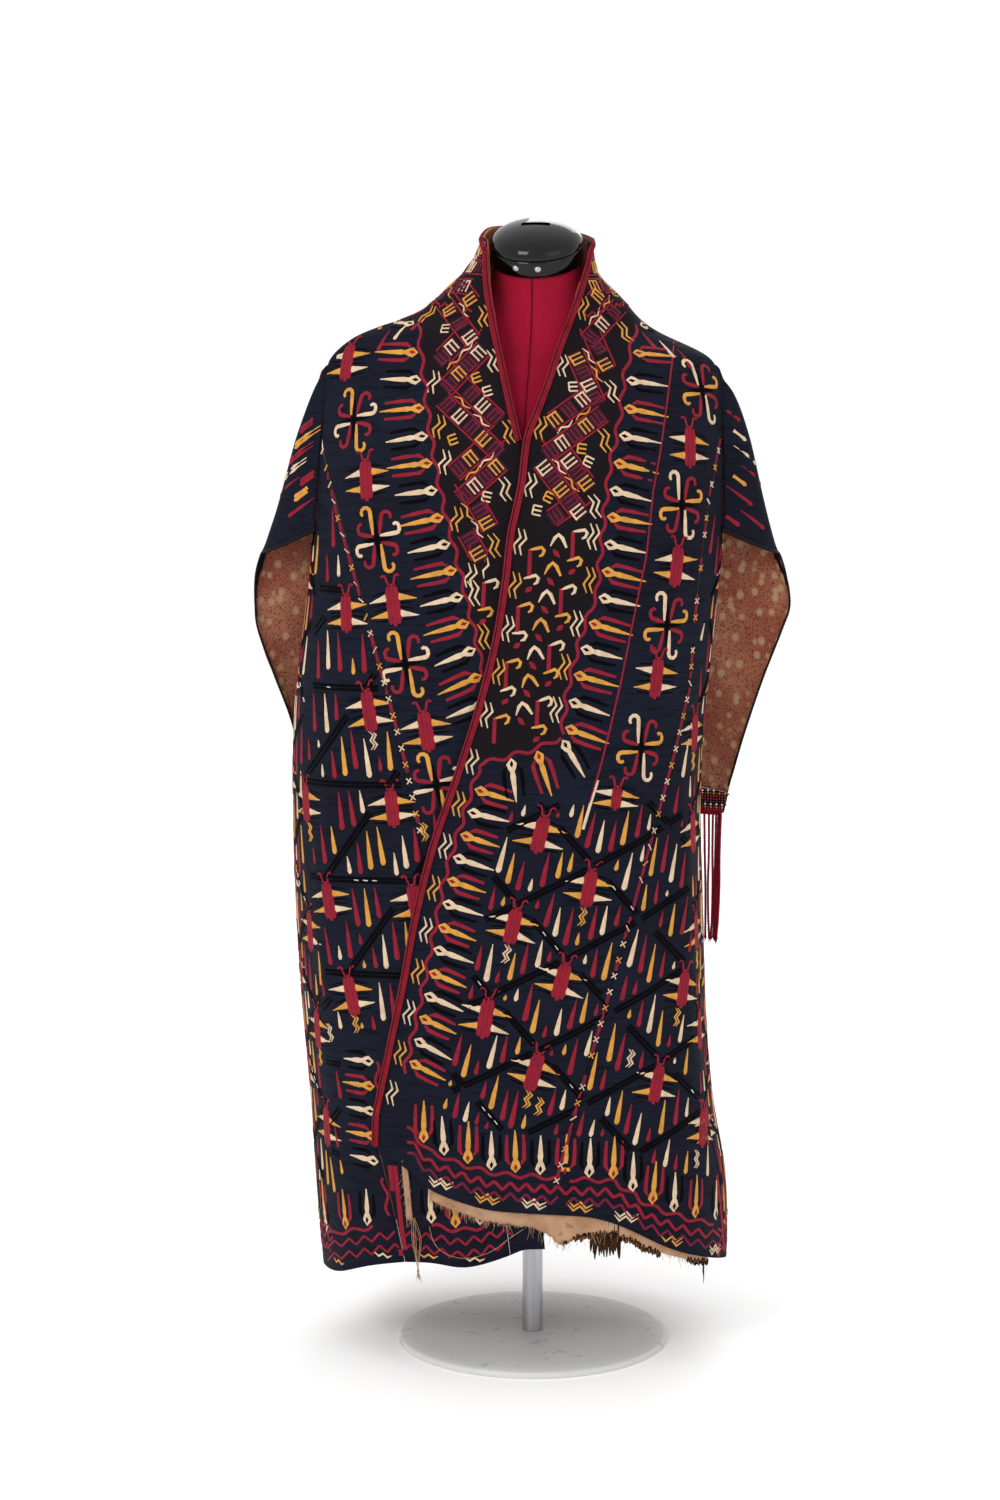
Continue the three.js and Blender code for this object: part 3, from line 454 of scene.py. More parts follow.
class Ground:
    """The outer face of some panels together, which stitches are laid on."""

    def __init__(self, names, outward=outward_from_body):
        corners, faces = [], []
        for name in names:
            mesh = cloth[name].data
            start = len(corners)
            corners.extend(corner.co.copy() for corner in mesh.vertices)
            for face in mesh.polygons:
                if outward is None or face.normal.dot(outward(face.center)) > 0:
                    faces.append([start + i for i in face.vertices])
        self.tree = BVHTree.FromPolygons(corners, faces)

    def spot(self, start, towards):
        """The place where a line first meets the cloth, as (place, normal), or None."""
        place, normal, _, _ = self.tree.ray_cast(start, towards, 1.2)
        if place is None:
            return None
        return place, (normal if normal.dot(towards) < 0 else -normal)

    def front(self, x, z):
        return self.spot(Vector((x, -0.6, z)), Vector((0, 1, 0)))

    def back(self, x, z):
        return self.spot(Vector((x, 0.6, z)), Vector((0, -1, 0)))


class Needlework:
    """Collects the stitches of one piece of embroidery and makes them one mesh."""

    def __init__(self, name, ground):
        self.name = name
        self.ground = ground
        self.corners, self.faces, self.thread_of = [], [], []

    def at(self, spot, u, v, tilt):
        """The place u across and v up from a spot, turned by tilt, back on the cloth, and its normal."""
        place, normal = spot
        right = Vector((-normal.y, normal.x, 0)).normalized()
        up = normal.cross(right)
        across = right * (u * math.cos(tilt) - v * math.sin(tilt))
        aloft = place + (across + up * (u * math.sin(tilt) + v * math.cos(tilt))) * MM + normal * 0.03
        return self.ground.spot(aloft, -normal)

    def stroke(self, spot, points, wide, thread, tilt=0.0, proud=0.9):
        """A ridge of stitches through points (u, v) in mm. wide is one width or one for each point."""
        widths = wide if isinstance(wide, (list, tuple)) else [wide] * len(points)
        rows, last = [], None
        for i, (u, v) in enumerate(points):
            u_0, v_0 = points[max(0, i - 1)]
            u_1, v_1 = points[min(len(points) - 1, i + 1)]
            long = math.hypot(u_1 - u_0, v_1 - v_0) or 1
            side = (-(v_1 - v_0) / long * widths[i] / 2, (u_1 - u_0) / long * widths[i] / 2)
            row = []
            for share, out in ((-1, -0.15), (-0.5, proud * 0.75), (0.5, proud * 0.75), (1, -0.15)):
                found = self.at(spot, u + side[0] * share, v + side[1] * share, tilt)
                if found and (found[0] - spot[0]).length < math.hypot(u, v) * MM * 1.5 + 0.012:
                    row.append(found[0] + found[1] * out * MM)
            reach = 0.0 if last is None else math.hypot(u - last[0], v - last[1]) * MM * 1.6 + 0.004
            if len(row) == 4 and (last is None or (row[0] - rows[-1][0]).length < reach):
                rows.append(row)
                last = (u, v)
            elif len(rows) > 1:
                break
            else:
                rows, last = [], None
        if len(rows) < 2:
            return
        start = len(self.corners)
        for row in rows:
            self.corners.extend(row)
        for i in range(len(rows) - 1):
            for j in range(3):
                a = start + i * 4 + j
                self.faces.append((a, a + 4, a + 5, a + 1))
                self.thread_of.append(THREAD_ORDER.index(thread))

    def made(self):
        mesh = bpy.data.meshes.new(self.name)
        mesh.from_pydata(self.corners, [], self.faces)
        piece = bpy.data.objects.new(self.name, mesh)
        scene.collection.objects.link(piece)
        for material in THREADS.values():
            mesh.materials.append(material)
        mesh.polygons.foreach_set("material_index", self.thread_of)
        mesh.polygons.foreach_set("use_smooth", [True] * len(mesh.polygons))
        mesh.update()
        return show(piece, "embroidered_silk")


def turned(points, angle, u=0.0, v=0.0):
    cos, sin = math.cos(angle), math.sin(angle)
    return [(u + a * cos - b * sin, v + a * sin + b * cos) for a, b in points]


def arc(u, v, radius, start, end, steps):
    return [
        (u + radius * math.cos(math.radians(start + (end - start) * i / steps)),
         v + radius * math.sin(math.radians(start + (end - start) * i / steps)))
        for i in range(steps + 1)
    ]


def nail(work, spot, tilt, long, thread):
    """A kite-shaped head at the spot and a shaft that tapers away from it, between two side bars."""
    side = "crimson" if thread == "gold" else "black"
    work.stroke(spot, [(0, -6), (0, 0.5), (0, 5), (0, 11)], [1.5, 13.5, 11, 5], thread, tilt, 0.9)
    work.stroke(spot, [(0, -3), (0, 0.8), (0, 4.6)], [1, 6.4, 1], side, tilt, 1.6)
    taper = [(0, 10), (0, 16), (0, long * 0.6), (0, long)]
    work.stroke(spot, taper, [5.5, 7.2, 5.6, 1.6], thread, tilt)
    for way in (-1, 1):
        line = [(way * 6.5, 4), (way * 10.2, 10), (way * 10.4, long * 0.5), (way * 9.8, long * 0.88)]
        work.stroke(spot, line, [2.4, 5.6, 5.2, 3.4], side, tilt, 0.7)


def comb(work, spot, tilt, size, thread, wide=2.0):
    """A spine with three teeth."""
    half = size / 2
    work.stroke(spot, [(-half, -half), (-half, half)], wide, thread, tilt)
    for height in (-half, 0, half):
        work.stroke(spot, [(-half, height), (half * 0.9, height)], wide, thread, tilt)


def squiggle(work, spot, tilt, size, thread):
    """Two short zigzag lines side by side."""
    for shift in (-3.4, 3.4):
        line = [
            (shift - 2, size / 2), (shift + 3, size / 6), (shift - 3, -size / 6), (shift + 1.5, -size / 2),
        ]
        work.stroke(spot, line, [1.4, 3, 3, 1.6], thread, tilt)


def ripple(work, spot, tilt, size, thread):
    """One zigzag line."""
    line = [(-1.5, size / 2), (2.2, size / 6), (-2.2, -size / 6), (1.2, -size / 2)]
    work.stroke(spot, line, [1.2, 2.8, 2.8, 1.4], thread, tilt)


def seven_hook(work, spot, tilt, thread):
    """A level bar whose end is bent down and back."""
    line = [(-9, -0.5), (-2, 1), (5, 2.5), (8, -1), (6, -6), (2, -8)]
    work.stroke(spot, line, [2, 4, 4.3, 4.3, 4, 2], thread, tilt)


def roof_hook(work, spot, tilt, thread):
    line = [(-9.5, -7), (-5, 3), (-1, 7), (4, 3), (9.5, -7.5)]
    work.stroke(spot, line, [1.6, 4.4, 4.8, 4.8, 3], thread, tilt)


def hooked_cross(work, spot, tilt, threads=("cream", "gold")):
    """Eight hooked arms in pairs, one light and one red, on both sides of a black cross."""
    for number in range(4):
        turn = math.radians(90 * number)
        shorter = 1.0 if number % 2 else 0.76
        light = [(6, 4.2), (20, 4.4), (33, 4.6)] + arc(33, 10.4, 5.8, -60, 130, 5)
        red = [(6, -4.4), (16, -6.2), (25, -8.4)] + arc(25, -14.4, 6, 60, -120, 5)
        arm_wide = [3, 5.4, 5.6, 5.4, 5, 4.8, 4.6, 4.4, 3.6]
        black = [(0, 0), (10, 0), (24 * shorter, 0)]
        work.stroke(spot, turned(black, turn), [5.4, 5, 2.6], "black", tilt, 0.8)
        for arm, thread in ((light, threads[number % 2]), (red, "crimson")):
            work.stroke(spot, turned([(u * shorter, v) for u, v in arm], turn), arm_wide, thread, tilt)


def beetle(work, spot, tilt, long=50, wide=18):
    """A long red body of three rows of stitches, with four pointed legs and two small horns."""
    half = long / 2
    for row in (-1, 0, 1):
        u = row * wide * 0.31
        end = half - 3 * abs(row)
        body = [(u * 0.75, end), (u * 0.95, half - 9), (u, 0), (u, -half + 8), (u * 0.7, -end)]
        row_wide = [wide * 0.37 * share for share in (0.6, 1, 1.05, 1.1, 0.7)]
        work.stroke(spot, body, row_wide, "crimson", tilt, 1.5)
    for height, left, right in ((half * 0.36, "cream", "gold"), (-half * 0.42, "gold", "cream")):
        for way, thread in ((-1, left), (1, right)):
            root = wide * 0.44
            drop = random.uniform(-5, 1.5)
            leg = [
                (way * root, height),
                (way * (root + 9), height + drop * 0.4),
                (way * (root + 22), height + drop),
            ]
            work.stroke(spot, leg, [9.6, 6, 1], thread, tilt)
            for gap in (7.4, -7.4):
                beside = [(way * root, height + gap), (way * (root + 17), height + drop * 0.5 + gap * 0.8)]
                work.stroke(spot, beside, [2.6, 1.4], "black", tilt, 0.7)
    for way in (-1, 1):
        bend = arc(way * 8.5, half + 7, 3, 180 if way > 0 else 0, 20 if way > 0 else 160, 3)
        work.stroke(spot, [(way * 3, half - 2), (way * 5, half + 5)] + bend, 3.2, "crimson", tilt)


def spike(work, spot, tilt, long, thread, wide=6.4):
    line = [(0, -long / 2), (0, -long / 2 + 3), (0, 0), (0, long / 2)]
    work.stroke(spot, line, [wide * 0.5, wide, wide * 0.75, 1], thread, tilt)


def curl(work, spot, tilt, thread):
    """Two small S shapes, one on the other."""
    for shift in (-1.9, 1.9):
        line = [(shift - 2.8, 11), (shift + 2.4, 6), (shift - 2, 0), (shift + 2.4, -5.5), (shift - 2.2, -11)]
        work.stroke(spot, line, [1, 2.8, 2.8, 2.8, 1], thread, tilt)


front = Ground(["front_left", "front_right", "gore_left", "gore_right"])
under = Ground(["front_right", "gore_right"])
over = Ground(["front_left", "gore_left"])
rear = Ground(["back_left", "back_right", "gore_left", "gore_right"])


def along(line, step):
    """Places on a line of (x, z) at an even step, as (x, z, direction in radians)."""
    placed, left = [], 0.0
    for (x_0, z_0), (x_1, z_1) in zip(line, line[1:]):
        long = math.hypot(x_1 - x_0, z_1 - z_0)
        heading = math.atan2(z_1 - z_0, x_1 - x_0)
        while left <= long:
            share = left / long
            placed.append((x_0 + (x_1 - x_0) * share, z_0 + (z_1 - z_0) * share, heading))
            left += step
        left -= long
    return placed


def line_stitches(work, find, line, wide, thread, step=0.009):
    """A stitched line through (x, z) places."""
    points = along(line, step)
    for here, there in zip(points, points[1:]):
        start, end = find(here[0], here[1]), find(there[0], there[1])
        if start is None or end is None or (start[0] - end[0]).length > 0.04:
            continue
        right = Vector((-start[1].y, start[1].x, 0)).normalized()
        up = start[1].cross(right)
        gap = end[0] - start[0]
        work.stroke(start, [(0, 0), (gap.dot(right) / MM, gap.dot(up) / MM)], wide, thread)


def zigzag(work, find, corners, wide, thread):
    """Straight lines of stitches from corner to corner, given as (x, z)."""
    for start, end in zip(corners, corners[1:]):
        long = math.hypot(end[0] - start[0], end[1] - start[1])
        line_stitches(work, find, [start, end], wide, thread, step=long * 0.499)


# Places of the garment's edges, seams and hems on its front, as (x, z) from the top down.
EDGE_OVER = [
    (0.066, 1.343), (0.060, 1.312), (0.050, 1.280), (0.035, 1.241), (0.020, 1.201), (0.004, 1.156),
    (-0.013, 1.113), (-0.020, 1.059), (-0.032, 1.003), (-0.042, 0.919), (-0.060, 0.834), (-0.090, 0.735),
    (-0.129, 0.611), (-0.155, 0.476), (-0.179, 0.366), (-0.191, 0.300),
]
EDGE_UNDER = [
    (-0.060, 1.343), (-0.056, 1.312), (-0.052, 1.280), (-0.043, 1.235), (-0.033, 1.190), (-0.024, 1.150),
    (-0.015, 1.113),
]
SEAM_LEFT = [
    (0.221, 1.111), (0.204, 1.036), (0.191, 0.920), (0.183, 0.815), (0.167, 0.746), (0.131, 0.615),
    (0.086, 0.452), (0.051, 0.330), (0.026, 0.234),
]
SEAM_RIGHT = [
    (-0.254, 1.110), (-0.232, 1.023), (-0.203, 0.926), (-0.169, 0.808), (-0.151, 0.739), (-0.131, 0.645),
]
HEM_OVER = [
    (-0.179, 0.270), (-0.150, 0.254), (-0.124, 0.226), (-0.093, 0.214), (-0.046, 0.201), (0.031, 0.194),
    (0.092, 0.189), (0.110, 0.177), (0.134, 0.157), (0.174, 0.138), (0.223, 0.115),
]
HEM_UNDER = [
    (-0.250, 0.093), (-0.233, 0.105), (-0.208, 0.116), (-0.183, 0.126), (-0.160, 0.132), (-0.121, 0.133),
    (-0.090, 0.129), (-0.067, 0.133), (-0.041, 0.141),
]


def height_on(line, x):
    if x <= line[0][0]:
        return line[0][1]
    for (x_0, z_0), (x_1, z_1) in zip(line, line[1:]):
        if x <= x_1:
            return z_0 + (z_1 - z_0) * (x - x_0) / (x_1 - x_0)
    return line[-1][1]


EDGES_CROSS = 1.113  # how high the two front edges cross


def visible_edge(height):
    """Where the wearer's right front passes out of sight, at its own edge or under the other front."""
    if height > EDGES_CROSS:
        return min(border_x(EDGE_UNDER, height), border_x(EDGE_OVER, height))
    return border_x(EDGE_OVER, height)


PLACKET = 0.009  # the braid's width on an edge


def chevrons(work, find, left, right, top, bottom, first_right):
    """Doubled zigzag bands of comb blocks between two borders, with small combs in the gaps beside them."""
    period, depth, pitch = 0.124, 0.0270, 17.4
    apexes, height, at_right = [], top + 0.03, first_right
    while height > bottom - 0.05:
        share = 0.94 if at_right else 0.06
        apexes.append((left(height) + (right(height) - left(height)) * share, height))
        height -= period * (0.42 if at_right else 0.58)
        at_right = not at_right
    cycle = ["cream", "plum", "gold", "plum"]
    placed = []
    for k, ((x_0, z_0), (x_1, z_1)) in enumerate(zip(apexes, apexes[1:])):
        heading = math.atan2(z_1 - z_0, x_1 - x_0)
        across = (-math.sin(heading), math.cos(heading))
        for band in (-1, 1):
            middle = [
                (x_0 + (x_1 - x_0) * t / 40 + across[0] * band * depth / 2,
                 z_0 + (z_1 - z_0) * t / 40 + across[1] * band * depth / 2)
                for t in range(-2, 43)
            ]
            inside = [
                (x, z) for x, z in middle if left(z) + 0.005 < x < right(z) - 0.005 and bottom < z < top
            ]
            if len(inside) < 4:
                continue
            for way in (-0.0103, 0.0103):
                edge = [(x + across[0] * way, z + across[1] * way) for x, z in inside]
                line_stitches(work, find, edge, 2.4, "crimson", step=0.008)
            run = math.hypot(inside[-1][0] - inside[0][0], inside[-1][1] - inside[0][1]) / MM
            count = max(1, round(run / pitch))
            for i in range(count):
                share = (i + 0.5) / count
                x = inside[0][0] + (inside[-1][0] - inside[0][0]) * share
                z = inside[0][1] + (inside[-1][1] - inside[0][1]) * share
                found = find(x, z)
                if found is None or any(math.hypot(x - u, z - v) < 0.0135 for u, v in placed):
                    continue
                placed.append((x, z))
                work.stroke(found, [(-8.9, 0), (0, 0), (8.9, 0)], 20, "wine", heading, 0.75)
                thread = cycle[(i + 2 * (band > 0) + k) % 4]
                flip = 1 if (i + k) % 2 else -1
                for tooth in (-5.6, 0, 5.6):
                    slope = random.uniform(-0.6, 0.6)
                    work.stroke(found, [(tooth, -7.4), (tooth + slope, 7.4)], 2.7, thread, heading, 1.5)
                work.stroke(found, [(-6.9, 7.4 * flip), (6.9, 7.4 * flip)], 2.7, thread, heading, 1.5)
        for share in (0.36, 0.64):
            x, z = x_0 + (x_1 - x_0) * share, z_0 + (z_1 - z_0) * share
            link = find(x, z)
            if link and bottom < z < top:
                ripple(work, link, heading + math.pi / 2, 24, ("cream", "gold")[(k + (share > 0.5)) % 2])
    number = 0

    def room(x, z):
        return min((math.hypot(x - u, z - v) for u, v in placed), default=1)

    for row in range(int((top - bottom) / 0.005)):
        z = top - row * 0.005
        for border, way in ((left, 1), (right, -1)):
            x = border(z) - way * 0.002
            ends = [(x, z + 0.011), (x, z), (x, z - 0.011)]
            found = find(x, z)
            if found is None or min(room(*end) for end in ends) < 0.0165:
                continue
            placed += ends
            number += 1
            squiggle(work, found, -0.2 * way, 28, ("cream", "gold")[number // 2 % 2])
    for row in range(int((top - bottom) / 0.005)):
        z = top - 0.004 - row * 0.005
        for share in (0.16, 0.84, 0.30, 0.70, 0.5):
            x = left(z) + (right(z) - left(z)) * share
            found = find(x, z)
            if room(x, z) < 0.0165 or found is None or right(z) - left(z) < 0.03:
                continue
            placed.append((x, z))
            number += 1
            comb(work, found, random.uniform(-0.5, 0.5), 10.5, ("gold", "cream")[number % 2], 2.3)


def border_squiggles(work, find, line, top, bottom, tilt, pitch=0.050, size=30):
    """Squiggles at an even step beside a border, given as a function of height."""
    for k in range(int((top - bottom) / pitch) + 1):
        z = top - k * pitch
        found = find(line(z), z)
        if found:
            squiggle(work, found, tilt, size, ("cream", "gold")[k % 2])


collar = Needlework("embroidery_collar", front)
chevrons(
    collar, under.front,
    lambda z: border_x(WAVY_RIGHT, z) + 0.013, lambda z: visible_edge(z) - PLACKET - 0.006,
    1.325, 0.950, True,
)
border_squiggles(collar, under.front, lambda z: border_x(WAVY_RIGHT, z) + 0.010, 0.935, 0.885, 0.16)
collar.ground = over
chevrons(
    collar, over.front,
    lambda z: border_x(EDGE_OVER, z) + PLACKET + 0.008, lambda z: border_x(WAVY_LEFT, z) - 0.014,
    1.325, 1.020, False,
)
border_squiggles(collar, over.front, lambda z: border_x(EDGE_OVER, z) + PLACKET + 0.007, 0.995, 0.78, -0.22)
border_squiggles(collar, over.front, lambda z: border_x(WAVY_LEFT, z) - 0.010, 1.000, 0.79, -0.12)

# Hooks and short red bars below the chevrons, in columns that lean with the front edge.
HOOK_STEP = 0.0324
for find, ground, first, columns_of, low, edge in (
    (over.front, over, (0.053, 1.006), 6, 0.775, lambda z: border_x(EDGE_OVER, z) + PLACKET + 0.014),
    (under.front, under, (-0.050, 0.948), 4, 0.880, lambda z: border_x(WAVY_RIGHT, z) + 0.018),
):
    collar.ground = ground
    for column in range(columns_of):
        for row in range(-1, 8):
            z = first[1] - 0.010 * column - row * HOOK_STEP
            x = first[0] - 0.0228 * column - (first[1] - z) * 0.21
            found = find(x, z)
            if found is None or z < low or x < edge(z) or row < 0 and column != columns_of - 2:
                continue
            tilt = random.uniform(-0.15, 0.15)
            thread = ("cream", "gold", "cream", "gold")[(row + column // 2) % 4]
            below = find(x - 0.003, z - 0.0145)
            if column % 2:
                roof_hook(collar, found, tilt, thread)
                if below:
                    collar.stroke(below, [(-3, 5), (0, 0), (3, -5)], [2, 7, 2], "crimson", 0.2, 0.8)
                continue
            seven_hook(collar, found, tilt, thread)
            bar = find(x - 0.009, z - 0.015)
            if bar and row % 2 == 0:
                collar.stroke(bar, [(1.5, 15), (-1.5, -15)], 5.2, "crimson", 0.06)
            elif below:
                collar.stroke(below, [(-4, -1), (0, 1), (4, 3)], [3, 7, 3], "crimson", 0.2, 0.8)

# ---- Nails along the wavy line ----
# A row of nail shapes stands all round the neck opening and down the front edge and hem, with their heads
# to a wavy line.
NAIL_PITCH = 0.0312
NAIL_OFF = 0.009  # how far a nail's head stands from the wavy line
border = Needlework("embroidery_border", front)


def nails(work, find, line, lean, longs=(46, 50), pitch=NAIL_PITCH, skip=()):
    """lean is the direction in which the shafts point, in degrees from +x, for the first and last nail."""
    swayed = [
        (x - math.sin(h) * 0.0034 * math.sin(i * 1.3), z + math.cos(h) * 0.0034 * math.sin(i * 1.3))
        for i, (x, z, h) in enumerate(along(line, 0.0065))
    ]
    line_stitches(work, find, swayed, 4.2, "crimson", step=0.0065)
    spots = along(line, pitch)
    for i, (x, z, _) in enumerate(spots):
        share = i / max(1, len(spots) - 1)
        angle = math.radians(lean[0] + (lean[1] - lean[0]) * share + random.uniform(-3, 3))
        found = find(x + math.cos(angle) * NAIL_OFF, z + math.sin(angle) * NAIL_OFF)
        if found and i not in skip:
            nail(work, found, angle - math.pi / 2, longs[i % 2], ("cream", "gold")[i % 2])


def zigzags(work, find, hem, start, count, rows, swing=0.0048):
    """Zigzag lines above a hem, given as a function of x. rows are (rise, wide, thread)."""
    for rise, wide, thread in rows:
        places = [start + 0.0094 * k for k in range(count)]
        corners = [(x, hem(x) + rise + (swing if k % 2 else -swing)) for k, x in enumerate(places)]
        zigzag(work, find, corners, wide, thread)


border.ground = under
nails(border, under.front, WAVY_RIGHT, (176, 205))
border.ground = over
WAVY_BOTTOM = [(0.031, 0.767), (-0.003, 0.753), (-0.046, 0.742), (-0.071, 0.735)]
INNER_EDGE = [(border_x(EDGE_OVER, z) + 0.026, z) for z in (0.735, 0.670, 0.611, 0.540, 0.476, 0.400, 0.362)]
nails(border, over.front, WAVY_LEFT, (-8, -20))
nails(border, over.front, WAVY_BOTTOM, (-58, -96), skip=(3, 4))
nails(border, over.front, INNER_EDGE, (-14, -26), longs=(44, 42), pitch=0.028, skip=(0,))
HEM_RISE = 0.046
OVER_HEM_LINE = [(x, z + HEM_RISE) for x, z in HEM_OVER[1:]]
nails(border, over.front, OVER_HEM_LINE, (93, 84), longs=(42, 46), pitch=0.029, skip=(0,))
zigzags(
    border, over.front, lambda x: height_on(HEM_OVER, x), -0.150, 41,
    ((0.032, 4.2, "crimson"), (0.019, 3.6, "plum")), 0.0050,
)
for k in range(7):
    x = -0.110 + 0.055 * k
    found = over.front(x, height_on(HEM_OVER, x) + 0.013)
    if found:
        for shift in (-2.4, 2.4):
            wave = [(-15, 4 + shift), (-8, -3 + shift), (0, 3 + shift), (7, -4 + shift), (15, 1 + shift)]
            border.stroke(found, wave, [1, 3.4, 3.4, 3.4, 1], ("cream", "gold")[k % 2], -0.1)
border_squiggles(border, over.front, lambda z: border_x(EDGE_OVER, z) + PLACKET + 0.007, 0.74, 0.30, -0.22)
border.ground = under
UNDER_HEM_LINE = [(x, z + HEM_RISE) for x, z in HEM_UNDER]
nails(border, under.front, UNDER_HEM_LINE[:4], (96, 90), longs=(40, 44), pitch=0.029)
nails(border, under.front, UNDER_HEM_LINE[5:], (92, 88), longs=(40, 44), pitch=0.029)
zigzags(
    border, under.front, lambda x: height_on(HEM_UNDER, x), -0.250, 25,
    ((0.032, 3.2, "crimson"), (0.016, 3.2, "crimson")),
)
for k in range(4):
    x = -0.235 + 0.055 * k
    found = under.front(x, height_on(HEM_UNDER, x) + 0.008)
    if found:
        wave = [(-12, 2), (-6, -2), (0, 2), (6, -2), (12, 1)]
        border.stroke(found, wave, [1, 3, 3, 3, 1], ("gold", "cream")[k % 2])
SLIT_LINE = [(-0.186, 0.375), (-0.184, 0.300), (-0.180, 0.240), (-0.172, 0.180)]
nails(border, under.front, SLIT_LINE, (182, 176), longs=(36, 40), pitch=0.031, skip=(5, 6, 7))
SLIT_BANDS = (
    (under, [(-0.171, 0.249), (-0.163, 0.170), (-0.157, 0.134)]),
    (under, [(-0.165, 0.249), (-0.157, 0.170), (-0.151, 0.134)]),
    (over, [(0.219, 0.243), (0.229, 0.160), (0.233, 0.112)]),
    (over, [(0.226, 0.243), (0.235, 0.165), (0.239, 0.112)]),
)
for ground, line in SLIT_BANDS:
    border.ground = ground
    line_stitches(border, ground.front, line, 6.5, "crimson", step=0.008)

# ---- Columns of crosses and beetles ----
# Beside the nails each front has a column of hooked crosses and red beetles, and a red line at the nails'
# tips.
columns = Needlework("embroidery_columns", under)


def lay(work, find, places, motif, *how):
    """One motif at each place of (x, z) that is on the cloth."""
    for x, z in places:
        found = find(x, z)
        if found:
            motif(work, found, *how)


CROSSES_RIGHT = [(-0.211, 1.130), (-0.183, 0.994), (-0.150, 0.851), (-0.114, 0.711)]
BEETLES_RIGHT = [(-0.220, 1.195), (-0.196, 1.062), (-0.164, 0.919), (-0.126, 0.774)]
lay(columns, under.front, CROSSES_RIGHT, hooked_cross, 0.18)
lay(columns, under.front, BEETLES_RIGHT, beetle, 0.16)
columns.ground = over
CROSSES_LEFT = [(0.197, 1.163), (0.172, 1.033), (0.155, 0.893), (0.125, 0.751)]
BEETLES_LEFT = [(0.182, 1.099), (0.166, 0.962), (0.143, 0.832)]
lay(columns, over.front, CROSSES_LEFT, hooked_cross, -0.04, ("gold", "cream"))
lay(columns, over.front, BEETLES_LEFT, beetle, -0.12)
lay(columns, over.front, [(0.096, 0.694)], beetle, -0.12, 30, 14)
TIP_LINE = [
    (0.165, 1.219), (0.146, 1.095), (0.138, 1.053), (0.130, 0.976), (0.117, 0.913), (0.102, 0.836),
    (0.089, 0.779), (0.077, 0.731), (0.062, 0.680),
]
line_stitches(columns, over.front, TIP_LINE, 2.6, "crimson", step=0.010)
line_stitches(columns, over.front, [(0.074, 0.716), (0.066, 0.690), (0.055, 0.652)], 4.0, "cream", step=0.012)


def crossed_seam(work, find, line, step=0.0195):
    """A sewn seam under a plum and red band, with a small thread cross at even steps."""
    line_stitches(work, find, line, 5.0, "plum", step=0.0085)
    for i, (x, z, heading) in enumerate(along(line, step)):
        found = find(x, z)
        if found is None:
            continue
        thread = ("cream", "cream", "gold")[i % 3]
        for way in (-0.75, 0.75):
            work.stroke(found, turned([(-4.4, 0), (4.4, 0)], heading + way), 1.7, thread, 0, 1.5)
        near = find(x + math.cos(heading) * step / 2, z + math.sin(heading) * step / 2)
        if near:
            work.stroke(near, turned([(-4, 0.6), (4, -0.6)], heading), 3.2, "crimson", 0, 1.3)


crossed_seam(columns, over.front, SEAM_LEFT)
columns.ground = under
crossed_seam(columns, under.front, SEAM_RIGHT)

# ---- Lattice of the skirt ----
# Over the skirt, the sides and the back, doubled black lines cross in a lattice. A red beetle hangs from each
# crossing, and slim spikes fill the fields between.
SPIKE_PITCH = 0.0139


def off_segment(x, z, segment):
    (x_0, z_0), (x_1, z_1) = segment
    long = math.hypot(x_1 - x_0, z_1 - z_0)
    share = max(0, min(1, ((x - x_0) * (x_1 - x_0) + (z - z_0) * (z_1 - z_0)) / long ** 2))
    return math.hypot(x - x_0 - (x_1 - x_0) * share, z - z_0 - (z_1 - z_0) * share)


